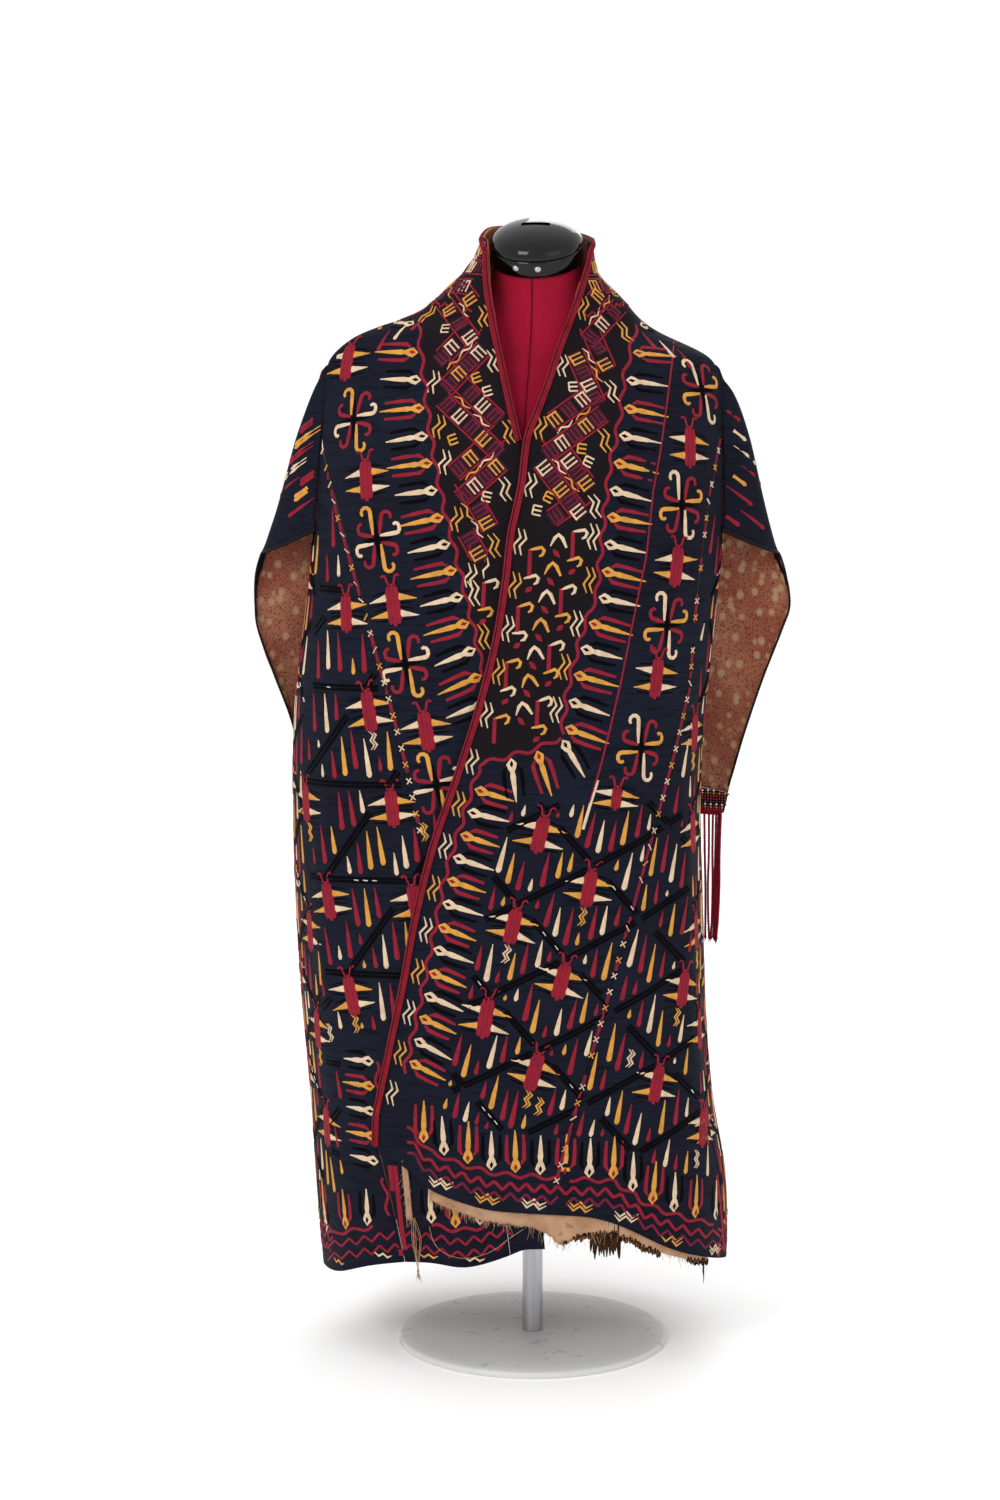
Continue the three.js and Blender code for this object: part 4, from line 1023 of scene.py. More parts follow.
def lattice(work, find, keep, origin, step_a, step_b, links, lean, area, taken=()):
    """keep says where the field is, as a test of (x, z). area is its outer box: x and z from and to."""
    low_x, high_x, low_z, high_z = area
    busy = list(taken)
    segments = []
    for i in range(-12, 13):
        for j in range(-12, 13):
            x = origin[0] + i * step_a[0] + j * step_b[0]
            z = origin[1] + i * step_a[1] + j * step_b[1]
            if not (low_x - 0.1 < x < high_x + 0.1 and low_z - 0.1 < z < high_z + 0.1):
                continue
            head = (x - math.sin(lean) * 0.027, z + math.cos(lean) * 0.027)
            for a, b in links:
                end = (head[0] + a * step_a[0] + b * step_b[0], head[1] + a * step_a[1] + b * step_b[1])
                segments.append((head, end))
            if all(keep(x + u, z + v) for u, v in ((0, 0), (0, -0.02), (-0.018, 0), (0.014, 0))):
                found = find(x, z)
                if found:
                    beetle(work, found, lean + random.uniform(-0.06, 0.06), random.uniform(46, 52))
                    busy.append((x, z))
                    tail = find(x + math.sin(lean) * 0.034, z - math.cos(lean) * 0.034)
                    if tail and (i + j) % 2:
                        curl(work, tail, lean, ("cream", "gold")[i % 2])
    for number, (start, end) in enumerate(segments):
        first = 4 if end[1] < start[1] - 0.05 else 0  # a steep line starts clear of the beetle's legs
        line = [
            (start[0] + (end[0] - start[0]) * t / 14, start[1] + (end[1] - start[1]) * t / 14)
            for t in range(first, 15)
        ]
        kept = [place for place in line if keep(*place)]
        if len(kept) < 3:
            continue
        heading = math.atan2(end[1] - start[1], end[0] - start[0])
        for way in (-0.0022, 0.0022):
            beside = [(x - math.sin(heading) * way, z + math.cos(heading) * way) for x, z in kept]
            line_stitches(work, find, beside, 4.0, "black", step=0.009)
        if number % 4 == 0:
            for place in along(kept, 0.011)[1:-1]:
                found = find(place[0], place[1])
                if found and random.random() < 0.35:
                    dash = turned([(-3, 0.5), (3, 0)], heading)
                    work.stroke(found, dash, 1.3, "chalk", 0, 1.5)
    threads = ("crimson", "cream", "crimson", "gold")

    def free(x, z):
        if not keep(x, z):
            return False
        for u, v in busy:
            aside, above = abs(x - u + (z - v) * math.tan(lean)), z - v
            if aside < 0.0120 and -0.030 < above < 0.039 or aside < 0.0315 and -0.019 < above < 0.017:
                return False
            if aside < 0.0065 and -0.050 < above < 0:
                return False
        return all(off_segment(x, z, segment) > 0.0046 for segment in segments)

    for column in range(int((high_x - low_x) / SPIKE_PITCH) + 14):
        start_x = low_x - 0.10 + column * SPIKE_PITCH + random.uniform(-0.001, 0.001)
        run = []
        height = high_z + (column % 3) * 0.0010
        while height > low_z - 0.01:
            x = start_x - (height - low_z) * math.tan(lean)
            if free(x, height) and len(run) < 27:
                run.append((x, height))
                height -= 0.002
                continue
            height -= 0.002
            if len(run) > 5:
                middle = find((run[0][0] + run[-1][0]) / 2, (run[0][1] + run[-1][1]) / 2)
                long = min(46, (run[0][1] - run[-1][1]) / MM - 3)
                thread = threads[(column * 3 + int(height / 0.05)) % 4]
                if middle and long > 40 and random.random() < 0.07:
                    curl(work, middle, lean, thread)
                elif middle:
                    spike(work, middle, lean + random.uniform(-0.04, 0.04), long, thread, 5.0 + long * 0.058)
            run = []


def front_find(ground):
    def find(x, z):
        found = ground.front(x, z)
        return found if found and found[1].y < -0.5 else None
    return find


BUSY_LEFT = CROSSES_LEFT + BEETLES_LEFT + [(0.096, 0.700)]


def in_over_field(x, z):
    if z < height_on(HEM_OVER, x) + HEM_RISE + 0.050 or z > 1.10:
        return False
    if x > border_x(SEAM_LEFT, z) + 0.006:
        return True
    nail_tips = border_x(EDGE_OVER, z) + 0.026 + 0.055
    return z < 0.690 and x > nail_tips and x < border_x(SEAM_LEFT, z) - 0.006


def in_under_field(x, z):
    if z < height_on(HEM_UNDER, x) + HEM_RISE + 0.050 or z > 1.10:
        return False
    if z < 0.41:
        return x < -0.229
    if z > 0.68:
        return x < border_x(SEAM_RIGHT, z) - 0.006
    return x < border_x(EDGE_OVER, z) + 0.012


skirt_over = Needlework("embroidery_skirt_over", over)
lattice(
    skirt_over, front_find(over), in_over_field, (0.007, 0.654), (0.057, -0.066), (-0.032, -0.109),
    ((1, 0), (1, -1)), -0.22, (-0.14, 0.26, 0.16, 1.12), BUSY_LEFT,
)
skirt_under = Needlework("embroidery_skirt_under", under)
lattice(
    skirt_under, front_find(under), in_under_field, (-0.166, 0.682), (-0.104, -0.006), (0.027, -0.112),
    ((1, 0), (1, 1)), 0.15, (-0.30, -0.04, 0.16, 1.12), CROSSES_RIGHT + BEETLES_RIGHT,
)

# ---- Sides and back ----
# The same needlework goes round the garment: a lattice on each side, and on the back four columns of crosses
# and beetles under the neck's nails, with the lattice below.
SIDE_HEM = 0.105
side_cloth = Ground(["gore_left", "gore_right", "back_left", "back_right", "front_left", "front_right"])
sides = Needlework("embroidery_sides", side_cloth)
HEM_ROWS = ((0.032, 3.2, "crimson"), (0.018, 3.2, "crimson"))


def side_find(way):
    def find(y, z):
        found = side_cloth.spot(Vector((way * 0.6, way * y, z)), Vector((-way, 0, 0)))
        return found if found and abs(found[1].x) > 0.88 else None
    return find


for way in (1, -1):
    find = side_find(way)
    lattice(
        sides, find, lambda y, z: SIDE_HEM + 0.096 < z < 0.995, (0.0, 0.70), (0.056, -0.060), (0.0, -0.120),
        ((1, 0), (1, -1)), 0.0, (-0.13, 0.16, 0.20, 1.00),
    )
    nails(sides, find, [(-0.13, SIDE_HEM + HEM_RISE), (0.17, SIDE_HEM + HEM_RISE - 0.004)], (90, 90))
    zigzags(sides, find, lambda y: SIDE_HEM, -0.13, 33, HEM_ROWS)

back = Needlework("embroidery_back", rear)
BACK_HEM = 0.098


def back_find(x, z):
    found = rear.back(x, z)
    return found if found and found[1].y > 0.5 else None


def in_back_field(x, z):
    return BACK_HEM + HEM_RISE + 0.05 < z < 0.76 and abs(x) > 0.008


BACK_COLUMNS = (-0.185, -0.105, 0.085, 0.165)
for number, x in enumerate(BACK_COLUMNS):
    for k in range(6):
        z = 1.135 - 0.068 * k
        found = back_find(x * (1 + 0.05 * k), z)
        if found is None:
            continue
        if (k + number) % 2:
            beetle(back, found, 0)
        else:
            hooked_cross(back, found, 0)
for x in (-0.236, -0.145, -0.060, 0.045, 0.125, 0.218):
    line_stitches(back, back_find, [(x * (1 - 0.002), 1.165), (x * 1.12, 0.775)], 2.6, "crimson", step=0.012)
for way in (-1, 1):
    line_stitches(back, back_find, [(way * 0.012, 1.17), (way * 0.012, 0.16)], 2.2, "crimson", step=0.012)
    for k in range(12):
        found = back_find(way * 0.031, 1.15 - 0.031 * k)
        if found:
            nail(back, found, -way * math.pi / 2 + math.pi, 24, ("cream", "gold")[k % 2])
crossed_seam(back, back_find, [(0.0, 1.19), (0.0, 0.15)])
lattice(
    back, back_find, in_back_field, (-0.056, 0.70), (0.056, -0.060), (0.0, -0.120),
    ((1, 0), (1, -1)), 0.0, (-0.27, 0.25, 0.19, 0.76),
)
nails(back, back_find, [(-0.25, BACK_HEM + HEM_RISE), (0.24, BACK_HEM + HEM_RISE)], (90, 90))
zigzags(back, back_find, lambda x: BACK_HEM, -0.25, 53, HEM_ROWS)

# ---- Neck and shoulders ----
# The standing collar has bands of combs all round. Nails fan down from it over the shoulders and the back.
neck_cloth = Ground(["front_left", "front_right", "back_left", "back_right"])
neck = Needlework("embroidery_neck", neck_cloth)


def round_find(angle, z):
    heading = Vector((math.sin(math.radians(angle)), -math.cos(math.radians(angle)), 0))
    return neck_cloth.spot(Vector((0, AXIS_Y, z)) + heading * 0.5, -heading)


for level, (height, size) in enumerate(((1.327, 15), (1.306, 14), (1.284, 15))):
    angle, k = 62.0, 0
    while angle < 300:
        found = round_find(angle, height)
        if found is None:
            angle += 6
            continue
        thread = ("cream", "plum", "gold", "plum")[(k + level) % 4]
        for tooth in (-6, 0, 6):
            neck.stroke(found, [(tooth, -size / 2), (tooth, size / 2)], 2.4, thread)
        bar = size / 2 * (-1) ** k
        neck.stroke(found, [(-7, bar), (7, bar)], 2.4, thread)
        around = math.hypot(found[0].x, found[0].y - AXIS_Y)
        for edge in (-size / 2 - 2.6, size / 2 + 2.6):
            neck.stroke(found, [(-9, edge), (0, edge), (10, edge)], 2.2, "crimson")
        angle += math.degrees(0.0192 / around)
        k += 1
angle, k = 50, 0
while angle < 310:
    found = round_find(angle, shoulder_line(angle))
    if found is None:
        angle += 5
        continue
    around = math.hypot(found[0].x, found[0].y - AXIS_Y)
    if 95 < angle < 272:
        nail(neck, found, math.pi, 42, ("cream", "gold")[k % 2])
    neck.stroke(found, [(-8, 3), (-3, -2), (3, 4), (9, 0)], 3.0, "crimson", 0, 1.3)
    angle += math.degrees((0.0185 if k % 2 else 0.0165) / around)
    k += 1
for way in (-1, 1):
    for k in range(5):
        for j in range(4):
            place = Vector((way * (0.135 + 0.021 * k), -0.024 + 0.034 * j, 1.6))
            found = neck_cloth.spot(place, Vector((0, 0, -1)))
            if found and found[1].z > 0.55:
                tilt = 0.2 * way + math.pi / 2 * (found[1].z > 0.9)
                spike(neck, found, tilt, 30, ("crimson", "cream", "crimson", "gold")[(k + j) % 4])

# ---- Needlework of the sleeves ----
# Slanting spikes and one small beetle on each upper sleeve, and upright spikes down the back of each tail.
sleeve_work = Needlework("embroidery_sleeves", front)
MOUTH_HEIGHT = 0.985
SLANT = 0.96
SLEEVE_THREADS = ("cream", "crimson", "gold", "crimson")
for name, facts in SLEEVES.items():
    way = facts["side"]
    sleeve_cloth = Ground([name], outward=None)
    sleeve_work.ground = sleeve_cloth
    for face in (-1, 1):
        tilt = -way * face * SLANT
        for row in range(-9, 10):
            for column in range(-3, 4):
                stagger = (row % 2) * 0.020
                u = 0.026 + (column * 0.050 * way + stagger) * math.sin(SLANT)
                u += row * 0.0145 * math.cos(SLANT)
                z = 1.085 - (column * 0.050 + stagger) * math.cos(SLANT) + row * 0.0145 * math.sin(SLANT)
                if not MOUTH_HEIGHT + 0.020 < z < 1.18:
                    continue
                found = sleeve_cloth.spot(Vector((way * (0.226 + u), face * 0.6, z)), Vector((0, -face, 0)))
                if found:
                    spike(sleeve_work, found, tilt, 42, SLEEVE_THREADS[(row + column) % 4], 6)
    for row in range(7):
        for column in range(5):
            found = sleeve_cloth.back(way * (0.226 + column * 0.018), 0.972 - row * 0.044 - column * 0.006)
            if found:
                spike(sleeve_work, found, 0.1 * way, 38, SLEEVE_THREADS[(row + column) % 4], 6)

for work in (collar, border, columns, skirt_over, skirt_under, sides, back, neck, sleeve_work):
    work.made()

# ---- Braid on the front edges ----
# A flat red herringbone braid, worked by hand round the whole front and neck edge, of silk. A thin black line
# and a narrow red edge run beside it on the free side.
RED_SILK = thread_finish("red_braid_silk", rgb(150, 28, 46), rgb(112, 20, 36))
BLACK_SILK = thread_finish("black_edge_silk", rgb(30, 22, 28), rgb(14, 12, 14))


class Cords:
    """Collects round cords along paths, and strips, and makes them one mesh."""

    def __init__(self, name, sides=5):
        self.name, self.sides = name, sides
        self.corners, self.faces, self.kinds = [], [], []

    def tube(self, path, radius, kind=0):
        """radius is one radius in mm, or one for each place."""
        radii = radius if isinstance(radius, (list, tuple)) else [radius] * len(path)
        start = len(self.corners)
        side = None
        for i, place in enumerate(path):
            heading = (path[min(i + 1, len(path) - 1)] - path[max(i - 1, 0)]).normalized()
            side = side or heading.orthogonal()
            side = (side - heading * side.dot(heading)).normalized()
            other = heading.cross(side)
            for k in range(self.sides):
                turn = 2 * math.pi * k / self.sides
                self.corners.append(place + (side * math.cos(turn) + other * math.sin(turn)) * radii[i] * MM)
        self.skin(start, len(path), kind)

    def skin(self, start, rows, kind, kinds=None):
        """Faces between rings of corners that were added from start on, with both ends closed."""
        for i in range(rows - 1):
            for k in range(self.sides):
                a = start + i * self.sides + k
                b = start + i * self.sides + (k + 1) % self.sides
                self.faces.append((a, b, b + self.sides, a + self.sides))
                self.kinds.append(kinds[k] if kinds else kind)
        last = start + (rows - 1) * self.sides
        self.faces.append(tuple(range(start + self.sides - 1, start - 1, -1)))
        self.faces.append(tuple(range(last, last + self.sides)))
        self.kinds += [kind, kind]

    def made(self, materials, slot, *replaced):
        mesh = bpy.data.meshes.new(self.name)
        mesh.from_pydata(self.corners, [], self.faces)
        piece = bpy.data.objects.new(self.name, mesh)
        scene.collection.objects.link(piece)
        for material in materials:
            mesh.materials.append(material)
        mesh.polygons.foreach_set("material_index", self.kinds)
        mesh.polygons.foreach_set("use_smooth", [True] * len(mesh.polygons))
        mesh.update()
        return show(piece, slot, *replaced)


def corners_of(name):
    mesh = bmesh.new()
    mesh.from_mesh(nodes[name].data)
    bmesh.ops.remove_doubles(mesh, verts=mesh.verts, dist=2e-5)
    places = [corner.co.copy() for corner in mesh.verts]
    mesh.free()
    return places


def rings_of(name):
    """The middle and the outward direction of each ring of four corners along a strip of the frame."""
    left = corners_of(name)
    here = min(left, key=lambda place: place.z)
    rings = []
    while left:
        first = min(left, key=lambda place: (place - here).length)
        left.sort(key=lambda place: (place - first).length)
        ring, left = left[:4], left[4:]
        here = sum(ring, Vector()) / 4
        out = (ring[1] - ring[0]).normalized()
        if 0.007 < (ring[2] - ring[0]).length < 0.009:
            rings.append((here, out if out.dot(outward_from_body(here)) > 0 else -out))
    return rings


def soft_path(points, step):
    """Places at about an even step on a soft curve through points."""
    line = []
    for i in range(len(points) - 1):
        before, start, end = points[max(0, i - 1)], points[i], points[i + 1]
        after = points[min(len(points) - 1, i + 2)]
        count = max(1, round((end - start).length / step))
        for k in range(count):
            t = k / count
            bend = (2 * before - 5 * start + 4 * end - after) * t * t
            bend += (3 * start - before - 3 * end + after) * t ** 3
            line.append(0.5 * (2 * start + (end - before) * t + bend))
    line.append(points[-1])
    return line


BRAID_STITCH = 0.0024
TAPE = [
    (-4.3, -0.7), (-4.3, 0.3), (-3.2, 1.0), (-1.3, 0.8), (0.9, 0.9),
    (1.4, 0.3), (2.2, 0.3), (2.6, 0.9), (4.2, 0.5), (4.2, -0.7),
]
TAPE_KINDS = [0, 0, 0, 0, 1, 1, 1, 0, 0, 0]
for name, free_way in (("braid_left", -1), ("braid_right", 1)):
    rings = rings_of(name)
    if name == "braid_right":
        under_end = rings[0][0] + (rings[0][0] - rings[1][0]).normalized() * 0.008 + Vector((0, 0.0012, 0))
        rings.insert(0, (under_end, rings[0][1]))
    path = soft_path([middle for middle, _ in rings], BRAID_STITCH)
    braid = Cords(f"silk_{name}", len(TAPE))
    fit = []
    for i, place in enumerate(path):
        near = min(rings, key=lambda ring: (ring[0] - place).length)
        heading = (path[min(i + 1, len(path) - 1)] - path[max(i - 1, 0)]).normalized()
        fit.append((place + outward_from_body(place) * crease_rise(place), near[1], heading))
    outs = [out for _, out, _ in fit]
    for _ in range(3):
        last = len(outs) - 1
        outs = [
            (outs[max(0, i - 3)] + outs[i] + outs[min(last, i + 3)]).normalized() for i in range(last + 1)
        ]
    frames = []
    for (place, _, heading), out in zip(fit, outs):
        frames.append((place, heading, out, heading.cross(out).normalized()))
    flip = 1 if frames[0][3].x * free_way > 0 else -1
    frames = [(place, heading, out, across * flip) for place, heading, out, across in frames]
    for place, heading, out, across in frames:
        for u, v in TAPE:
            braid.corners.append(place + (across * u + out * v) * MM)
    braid.skin(0, len(frames), 0, TAPE_KINDS)
    stitches = Cords(f"stitches_{name}", 4)
    for place, heading, out, across in frames:
        def on(u, v, w):
            return place + (across * u + out * v + heading * w) * MM

        stitches.tube([on(-1.4, 0.9, -0.9), on(-2.8, 1.15, 0.6), on(-4.2, 0.5, 1.4)], [0.75, 0.8, 0.5])
        stitches.tube([on(-1.4, 0.9, -0.9), on(-0.2, 1.05, 0.5), on(1.0, 0.7, 1.4)], [0.75, 0.8, 0.5])
        stitches.tube([on(2.4, 0.8, -0.6), on(4.2, 0.5, 0.6)], 0.55)
    braid.made([RED_SILK, BLACK_SILK], "red_braid", name)
    stitches.made([RED_SILK], "red_braid")

# ---- Edge cords of the sleeves ----
# A thick black silk cord on the sleeve's mouth, partly a binding and partly painted shadow: it stands in for
# the shade under the mouth's edge. It goes on as a thin cord round the tail's edge.
BINDING_AND_MOUTH_SHADOW = thread_finish("black_binding_and_mouth_shadow", rgb(22, 18, 22), rgb(8, 8, 10))
SLEEVE_RIMS = [
    ("mouth", [
        (0.222, -0.0245, 1.000), (0.255, -0.014, 0.984), (0.282, 0.004, 0.972), (0.291, 0.019, 0.968),
    ]),
    ("edge", [
        (0.291, 0.020, 0.968), (0.296, 0.024, 0.960), (0.303, 0.028, 0.936), (0.308, 0.034, 0.901),
        (0.299, 0.039, 0.870), (0.280, 0.045, 0.818), (0.267, 0.050, 0.778), (0.254, 0.054, 0.735),
        (0.243, 0.057, 0.694), (0.238, 0.060, 0.676),
    ]),
    ("edge", [
        (0.217, 0.045, 0.969), (0.215, 0.049, 0.932), (0.211, 0.053, 0.899), (0.204, 0.059, 0.841),
        (0.195, 0.067, 0.781), (0.186, 0.076, 0.704),
    ]),
    ("mouth", [
        (-0.258, -0.0235, 1.000), (-0.289, -0.013, 0.984), (-0.314, 0.004, 0.972), (-0.323, 0.020, 0.968),
    ]),
    ("edge", [
        (-0.323, 0.020, 0.968), (-0.327, 0.024, 0.960), (-0.333, 0.029, 0.936), (-0.334, 0.035, 0.901),
        (-0.331, 0.040, 0.870), (-0.314, 0.048, 0.818), (-0.295, 0.058, 0.764), (-0.285, 0.070, 0.721),
        (-0.276, 0.085, 0.681),
    ]),
    ("edge", [
        (-0.257, 0.043, 0.994), (-0.260, 0.045, 0.969), (-0.263, 0.051, 0.932), (-0.265, 0.056, 0.899),
        (-0.268, 0.068, 0.841), (-0.261, 0.086, 0.781), (-0.244, 0.109, 0.704),
    ]),
]
bindings_and_mouth_shadow = Cords("sleeve_bindings_and_mouth_shadow", 8)
for kind, line in SLEEVE_RIMS:
    path = soft_path([Vector(place) for place in line], 0.0022)
    if kind == "mouth":
        # Painted shadow: the mouth's cord is thick and black for the shade under the mouth's edge.
        path = [place - Vector((0, 0, 0.0012)) for place in path]
        bindings_and_mouth_shadow.tube(path, [(3.1 - 1.2 * i / len(path)) * (1 + 0.12 * (i % 2)) for i in range(len(path))])
    else:
        bindings_and_mouth_shadow.tube(path, [1.25 * (1 + 0.14 * (i % 2)) for i in range(len(path))])
bindings_and_mouth_shadow.made([BINDING_AND_MOUTH_SHADOW], "embroidered_silk")

# ---- Hem facing and torn strip ----
# A tan cotton facing that has come away and hangs below the outer front's hem, with a ragged edge. A narrow
# torn strip of the same cloth hangs at the front edge, and loose threads and dark shreds hang from both. The
# shreds' dark brown is partly their own colour and partly painted shade, for the shadow behind the front.
cotton = Finish("tan_cotton", roughness=0.9, Specular_IOR_Level=0.1)
threads_up = cotton.stripes(1100, "Z", 1.5) * 0.5 + cotton.stripes(1300, "X", 1.5) * 0.5
stained = cotton.blend(cotton.noise(30, 4).between(0.35, 0.7), rgb(222, 178, 142), rgb(200, 150, 114))
stained = cotton.blend(cotton.noise(110, 3).between(0.6, 0.75) * 0.6, stained, rgb(150, 96, 66))
TAN_COTTON = cotton.finish(stained, threads_up + cotton.noise(90, 2) * 2, depth=0.6)
# Dark brown shreds: partly their own brown and partly painted shade, for the shadow they hang in behind the
# front.
brown_and_shade = Finish("brown_shreds_and_shade", roughness=0.95, Specular_IOR_Level=0.05)
BROWN_AND_PAINTED_SHADE = brown_and_shade.finish(brown_and_shade.blend(brown_and_shade.noise(150, 2).between(0.4, 0.6), rgb(62, 38, 24), rgb(36, 22, 16)))
FACINGS = {
    "hem_facing": {"flat": (0.40, 0.034), "area": 0.0091, "rests_on": ["front_left"]},
    "facing_strip": {"flat": (0.080, 0.012), "area": 0.00068, "rests_on": ["front_right"]},
}
for name, facts in FACINGS.items():
    piece = fine_copy(f"cotton_{name}", name, 3)
    piece.data.materials.append(TAN_COTTON)
    for corner in piece.data.vertices:
        place = corner.co
        hem = height_on(HEM_OVER, place.x)
        low = min(1.0, max(0.0, (hem - place.z) / 0.012)) if name == "hem_facing" else 0.5
        rumple = noise.noise(Vector((place.x * 70, 3, place.z * 110))) * 0.0009
        ragged = noise.noise(Vector((place.x * 260, 7, 1))) * 0.0022
        ragged += noise.noise(Vector((place.x * 90, 5, 2))) * 0.0022
        corner.co += outward_from_body(place) * (crease_rise(place) + rumple * low)
        corner.co.z += ragged * low if name == "hem_facing" else 0
    show(piece, "facing_cotton", name)
    cloth[name] = piece


def hanging(start, long, sway, steps=5):
    """A thread that hangs from a place, bent a little at random."""
    path, place, lean = [start], start, Vector((random.uniform(-sway, sway), random.uniform(-sway, 0), 0))
    for _ in range(steps):
        lean += Vector((random.uniform(-sway, sway), random.uniform(-sway, sway) * 0.3, 0)) * 0.6
        place = place + (Vector((0, 0, -1)) + lean) * (long / steps * MM)
        path.append(place)
    return path


lowest = {}
for corner in cloth["hem_facing"].data.vertices:
    slot = round(corner.co.x / 0.0015)
    if slot not in lowest or corner.co.z < lowest[slot].z:
        lowest[slot] = corner.co.copy()
frays = Cords("frayed_threads", 4)
for slot, place in sorted(lowest.items()):
    for _ in range(2):
        start = place + Vector((random.uniform(-0.0008, 0.0008), random.uniform(-0.0003, 0.0006), 0.0012))
        long = random.uniform(2, 7) if random.random() < 0.8 else random.uniform(8, 16)
        frays.tube(hanging(start, long, 0.35), [0.32, 0.3, 0.28, 0.24, 0.2, 0.12])
# The shreds hang just behind the facing's edge; their dark colour is partly painted shade.
shreds = Cords("brown_shreds_and_shade", 5)
for x_from, x_to, deep in (
    (0.036, 0.050, 5), (0.050, 0.069, 9), (0.069, 0.104, 31), (0.104, 0.150, 10), (0.186, 0.222, 9),
):
    x = x_from
    while x < x_to:
        slot = round(x / 0.0015)
        if slot in lowest:
            start = lowest[slot] + Vector((0, 0.0010, 0.003))
            long = deep * random.uniform(0.75, 1.1)
            shreds.tube(hanging(start, long, 0.05), [1.6, 1.9, 1.9, 1.8, 1.5, 0.6])
        x += 0.0012
place = lowest[max(lowest)]
for long in (30, 24, 18):
    shred = hanging(place + Vector((-0.004, 0.001, 0.002)), long, 0.08, 6)
    shreds.tube(shred, [0.9, 0.9, 0.8, 0.7, 0.6, 0.5, 0.2])
strip_end = min(cloth["facing_strip"].data.vertices, key=lambda corner: corner.co.z).co.copy()
knot = under.front(-0.1375, 0.142)[0] + Vector((0, -0.0035, -0.0205))
for k in range(6):
    start = strip_end + Vector((random.uniform(-0.003, 0.003), -0.001, random.uniform(0, 0.004)))
    bow = Vector((random.uniform(-0.007, 0.007), -0.003, 0))
    sag = [start, start.lerp(knot, 0.35) + bow, start.lerp(knot, 0.7) + bow * 0.5, knot]
    frays.tube(soft_path(sag, 0.004), 0.35)
for k in range(7):
    frays.tube(hanging(knot, random.uniform(7, 15), 0.3), [0.8, 0.7, 0.6, 0.45, 0.3, 0.15])
knotted = [knot + Vector((0, 0, rise)) for rise in (0.004, 0.001, -0.003)]
frays.tube(knotted, [0.8, 2.3, 1.0])
loop = [
    (-0.124, 0.178), (-0.118, 0.158), (-0.104, 0.146), (-0.080, 0.142), (-0.052, 0.150), (-0.030, 0.166),
    (-0.012, 0.178),
]
loose = [found[0] + Vector((0, -0.0022, 0)) for found in (under.front(x, z) for x, z in loop) if found]
frays.tube(soft_path(loose, 0.004), 0.4)
for corner in list(cloth["facing_strip"].data.vertices)[::9]:
    frays.tube(hanging(corner.co.copy(), random.uniform(3, 9), 0.6), [0.3, 0.3, 0.25, 0.2, 0.2, 0.12])
frays.made([TAN_COTTON], "facing_cotton")
shreds.made([BROWN_AND_PAINTED_SHADE], "facing_cotton")

# ---- Bead bands of the sleeves ----
# Small glass beads, threaded in close rows and sewn on both faces of each tail's end: black, red and black
# again, with white and orange beads between.
GLASS = {}
for shade, colour in (
    ("black", rgb(16, 14, 18)), ("red", rgb(126, 18, 30)),
    ("white", rgb(232, 228, 220)), ("orange", rgb(214, 122, 36)),
):
    glass = Finish(f"{shade}_glass_bead", roughness=0.22, Coat_Weight=0.6)
    cloudy_glass = glass.noise(300, 1).between(0.4, 0.7) * 0.3
    GLASS[shade] = glass.finish(glass.blend(cloudy_glass, colour, rgb(60, 40, 40)))
backing = Finish("black_backing_cloth", roughness=0.9, Specular_IOR_Level=0.1)
mottled = backing.blend(backing.noise(200, 2), rgb(22, 18, 22), rgb(40, 20, 26))
BACKING = backing.finish(mottled, backing.stripes(900, "Z"))
BEAD_ROWS = [
    ("black",), ("white", "black"), ("red", "orange"), ("red",), ("red",), ("black", "red"),
    ("white", "black"), ("orange", "red"), ("red",),
]
BEAD = 0.0034
ball = bmesh.new()
bmesh.ops.create_icosphere(ball, subdivisions=1, radius=BEAD * 0.52)
BALL_CORNERS = [corner.co.copy() for corner in ball.verts]
BALL_FACES = [tuple(corner.index for corner in face.verts) for face in ball.faces]
ball.free()
for side in ("left", "right"):
    name = f"sleeve_band_{side}"
    band = fine_copy(f"backing_{name}", name, 2)
    band.data.materials.append(BACKING)
    show(band, "beadwork", name)
    shell = bmesh.new()
    shell.from_mesh(band.data)
    tree = BVHTree.FromBMesh(shell)
    shell.free()
    low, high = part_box(name)
    beads = Cords(f"beads_{side}")
    for row, pattern in enumerate(BEAD_ROWS):
        z = high.z - BEAD * (row + 0.75)
        for column in range(int((high.x - low.x) / BEAD) + 1):
            x = low.x + BEAD * (column + 0.5)
            for way in (-1, 1):
                place, normal, _, _ = tree.ray_cast(Vector((x, way * 0.5, z)), Vector((0, -way, 0)))
                if place is None or abs(normal.y) < 0.3:
                    continue
                start = len(beads.corners)
                centre = place + normal * BEAD * 0.2
                beads.corners.extend(centre + Vector((c.x, c.y, c.z * 0.86)) for c in BALL_CORNERS)
                beads.faces.extend(tuple(start + i for i in face) for face in BALL_FACES)
                shade = pattern[(column + row // 2) % len(pattern)]
                beads.kinds.extend([list(GLASS).index(shade)] * len(BALL_FACES))
    beads.made(list(GLASS.values()), "beadwork")

# ---- Tassels ----
# Ten strands of red silk at each tail's end, each of two cords twisted together and knotted at its tip.
TASSEL_RED = thread_finish("tassel_silk", rgb(146, 22, 44), rgb(96, 12, 30))


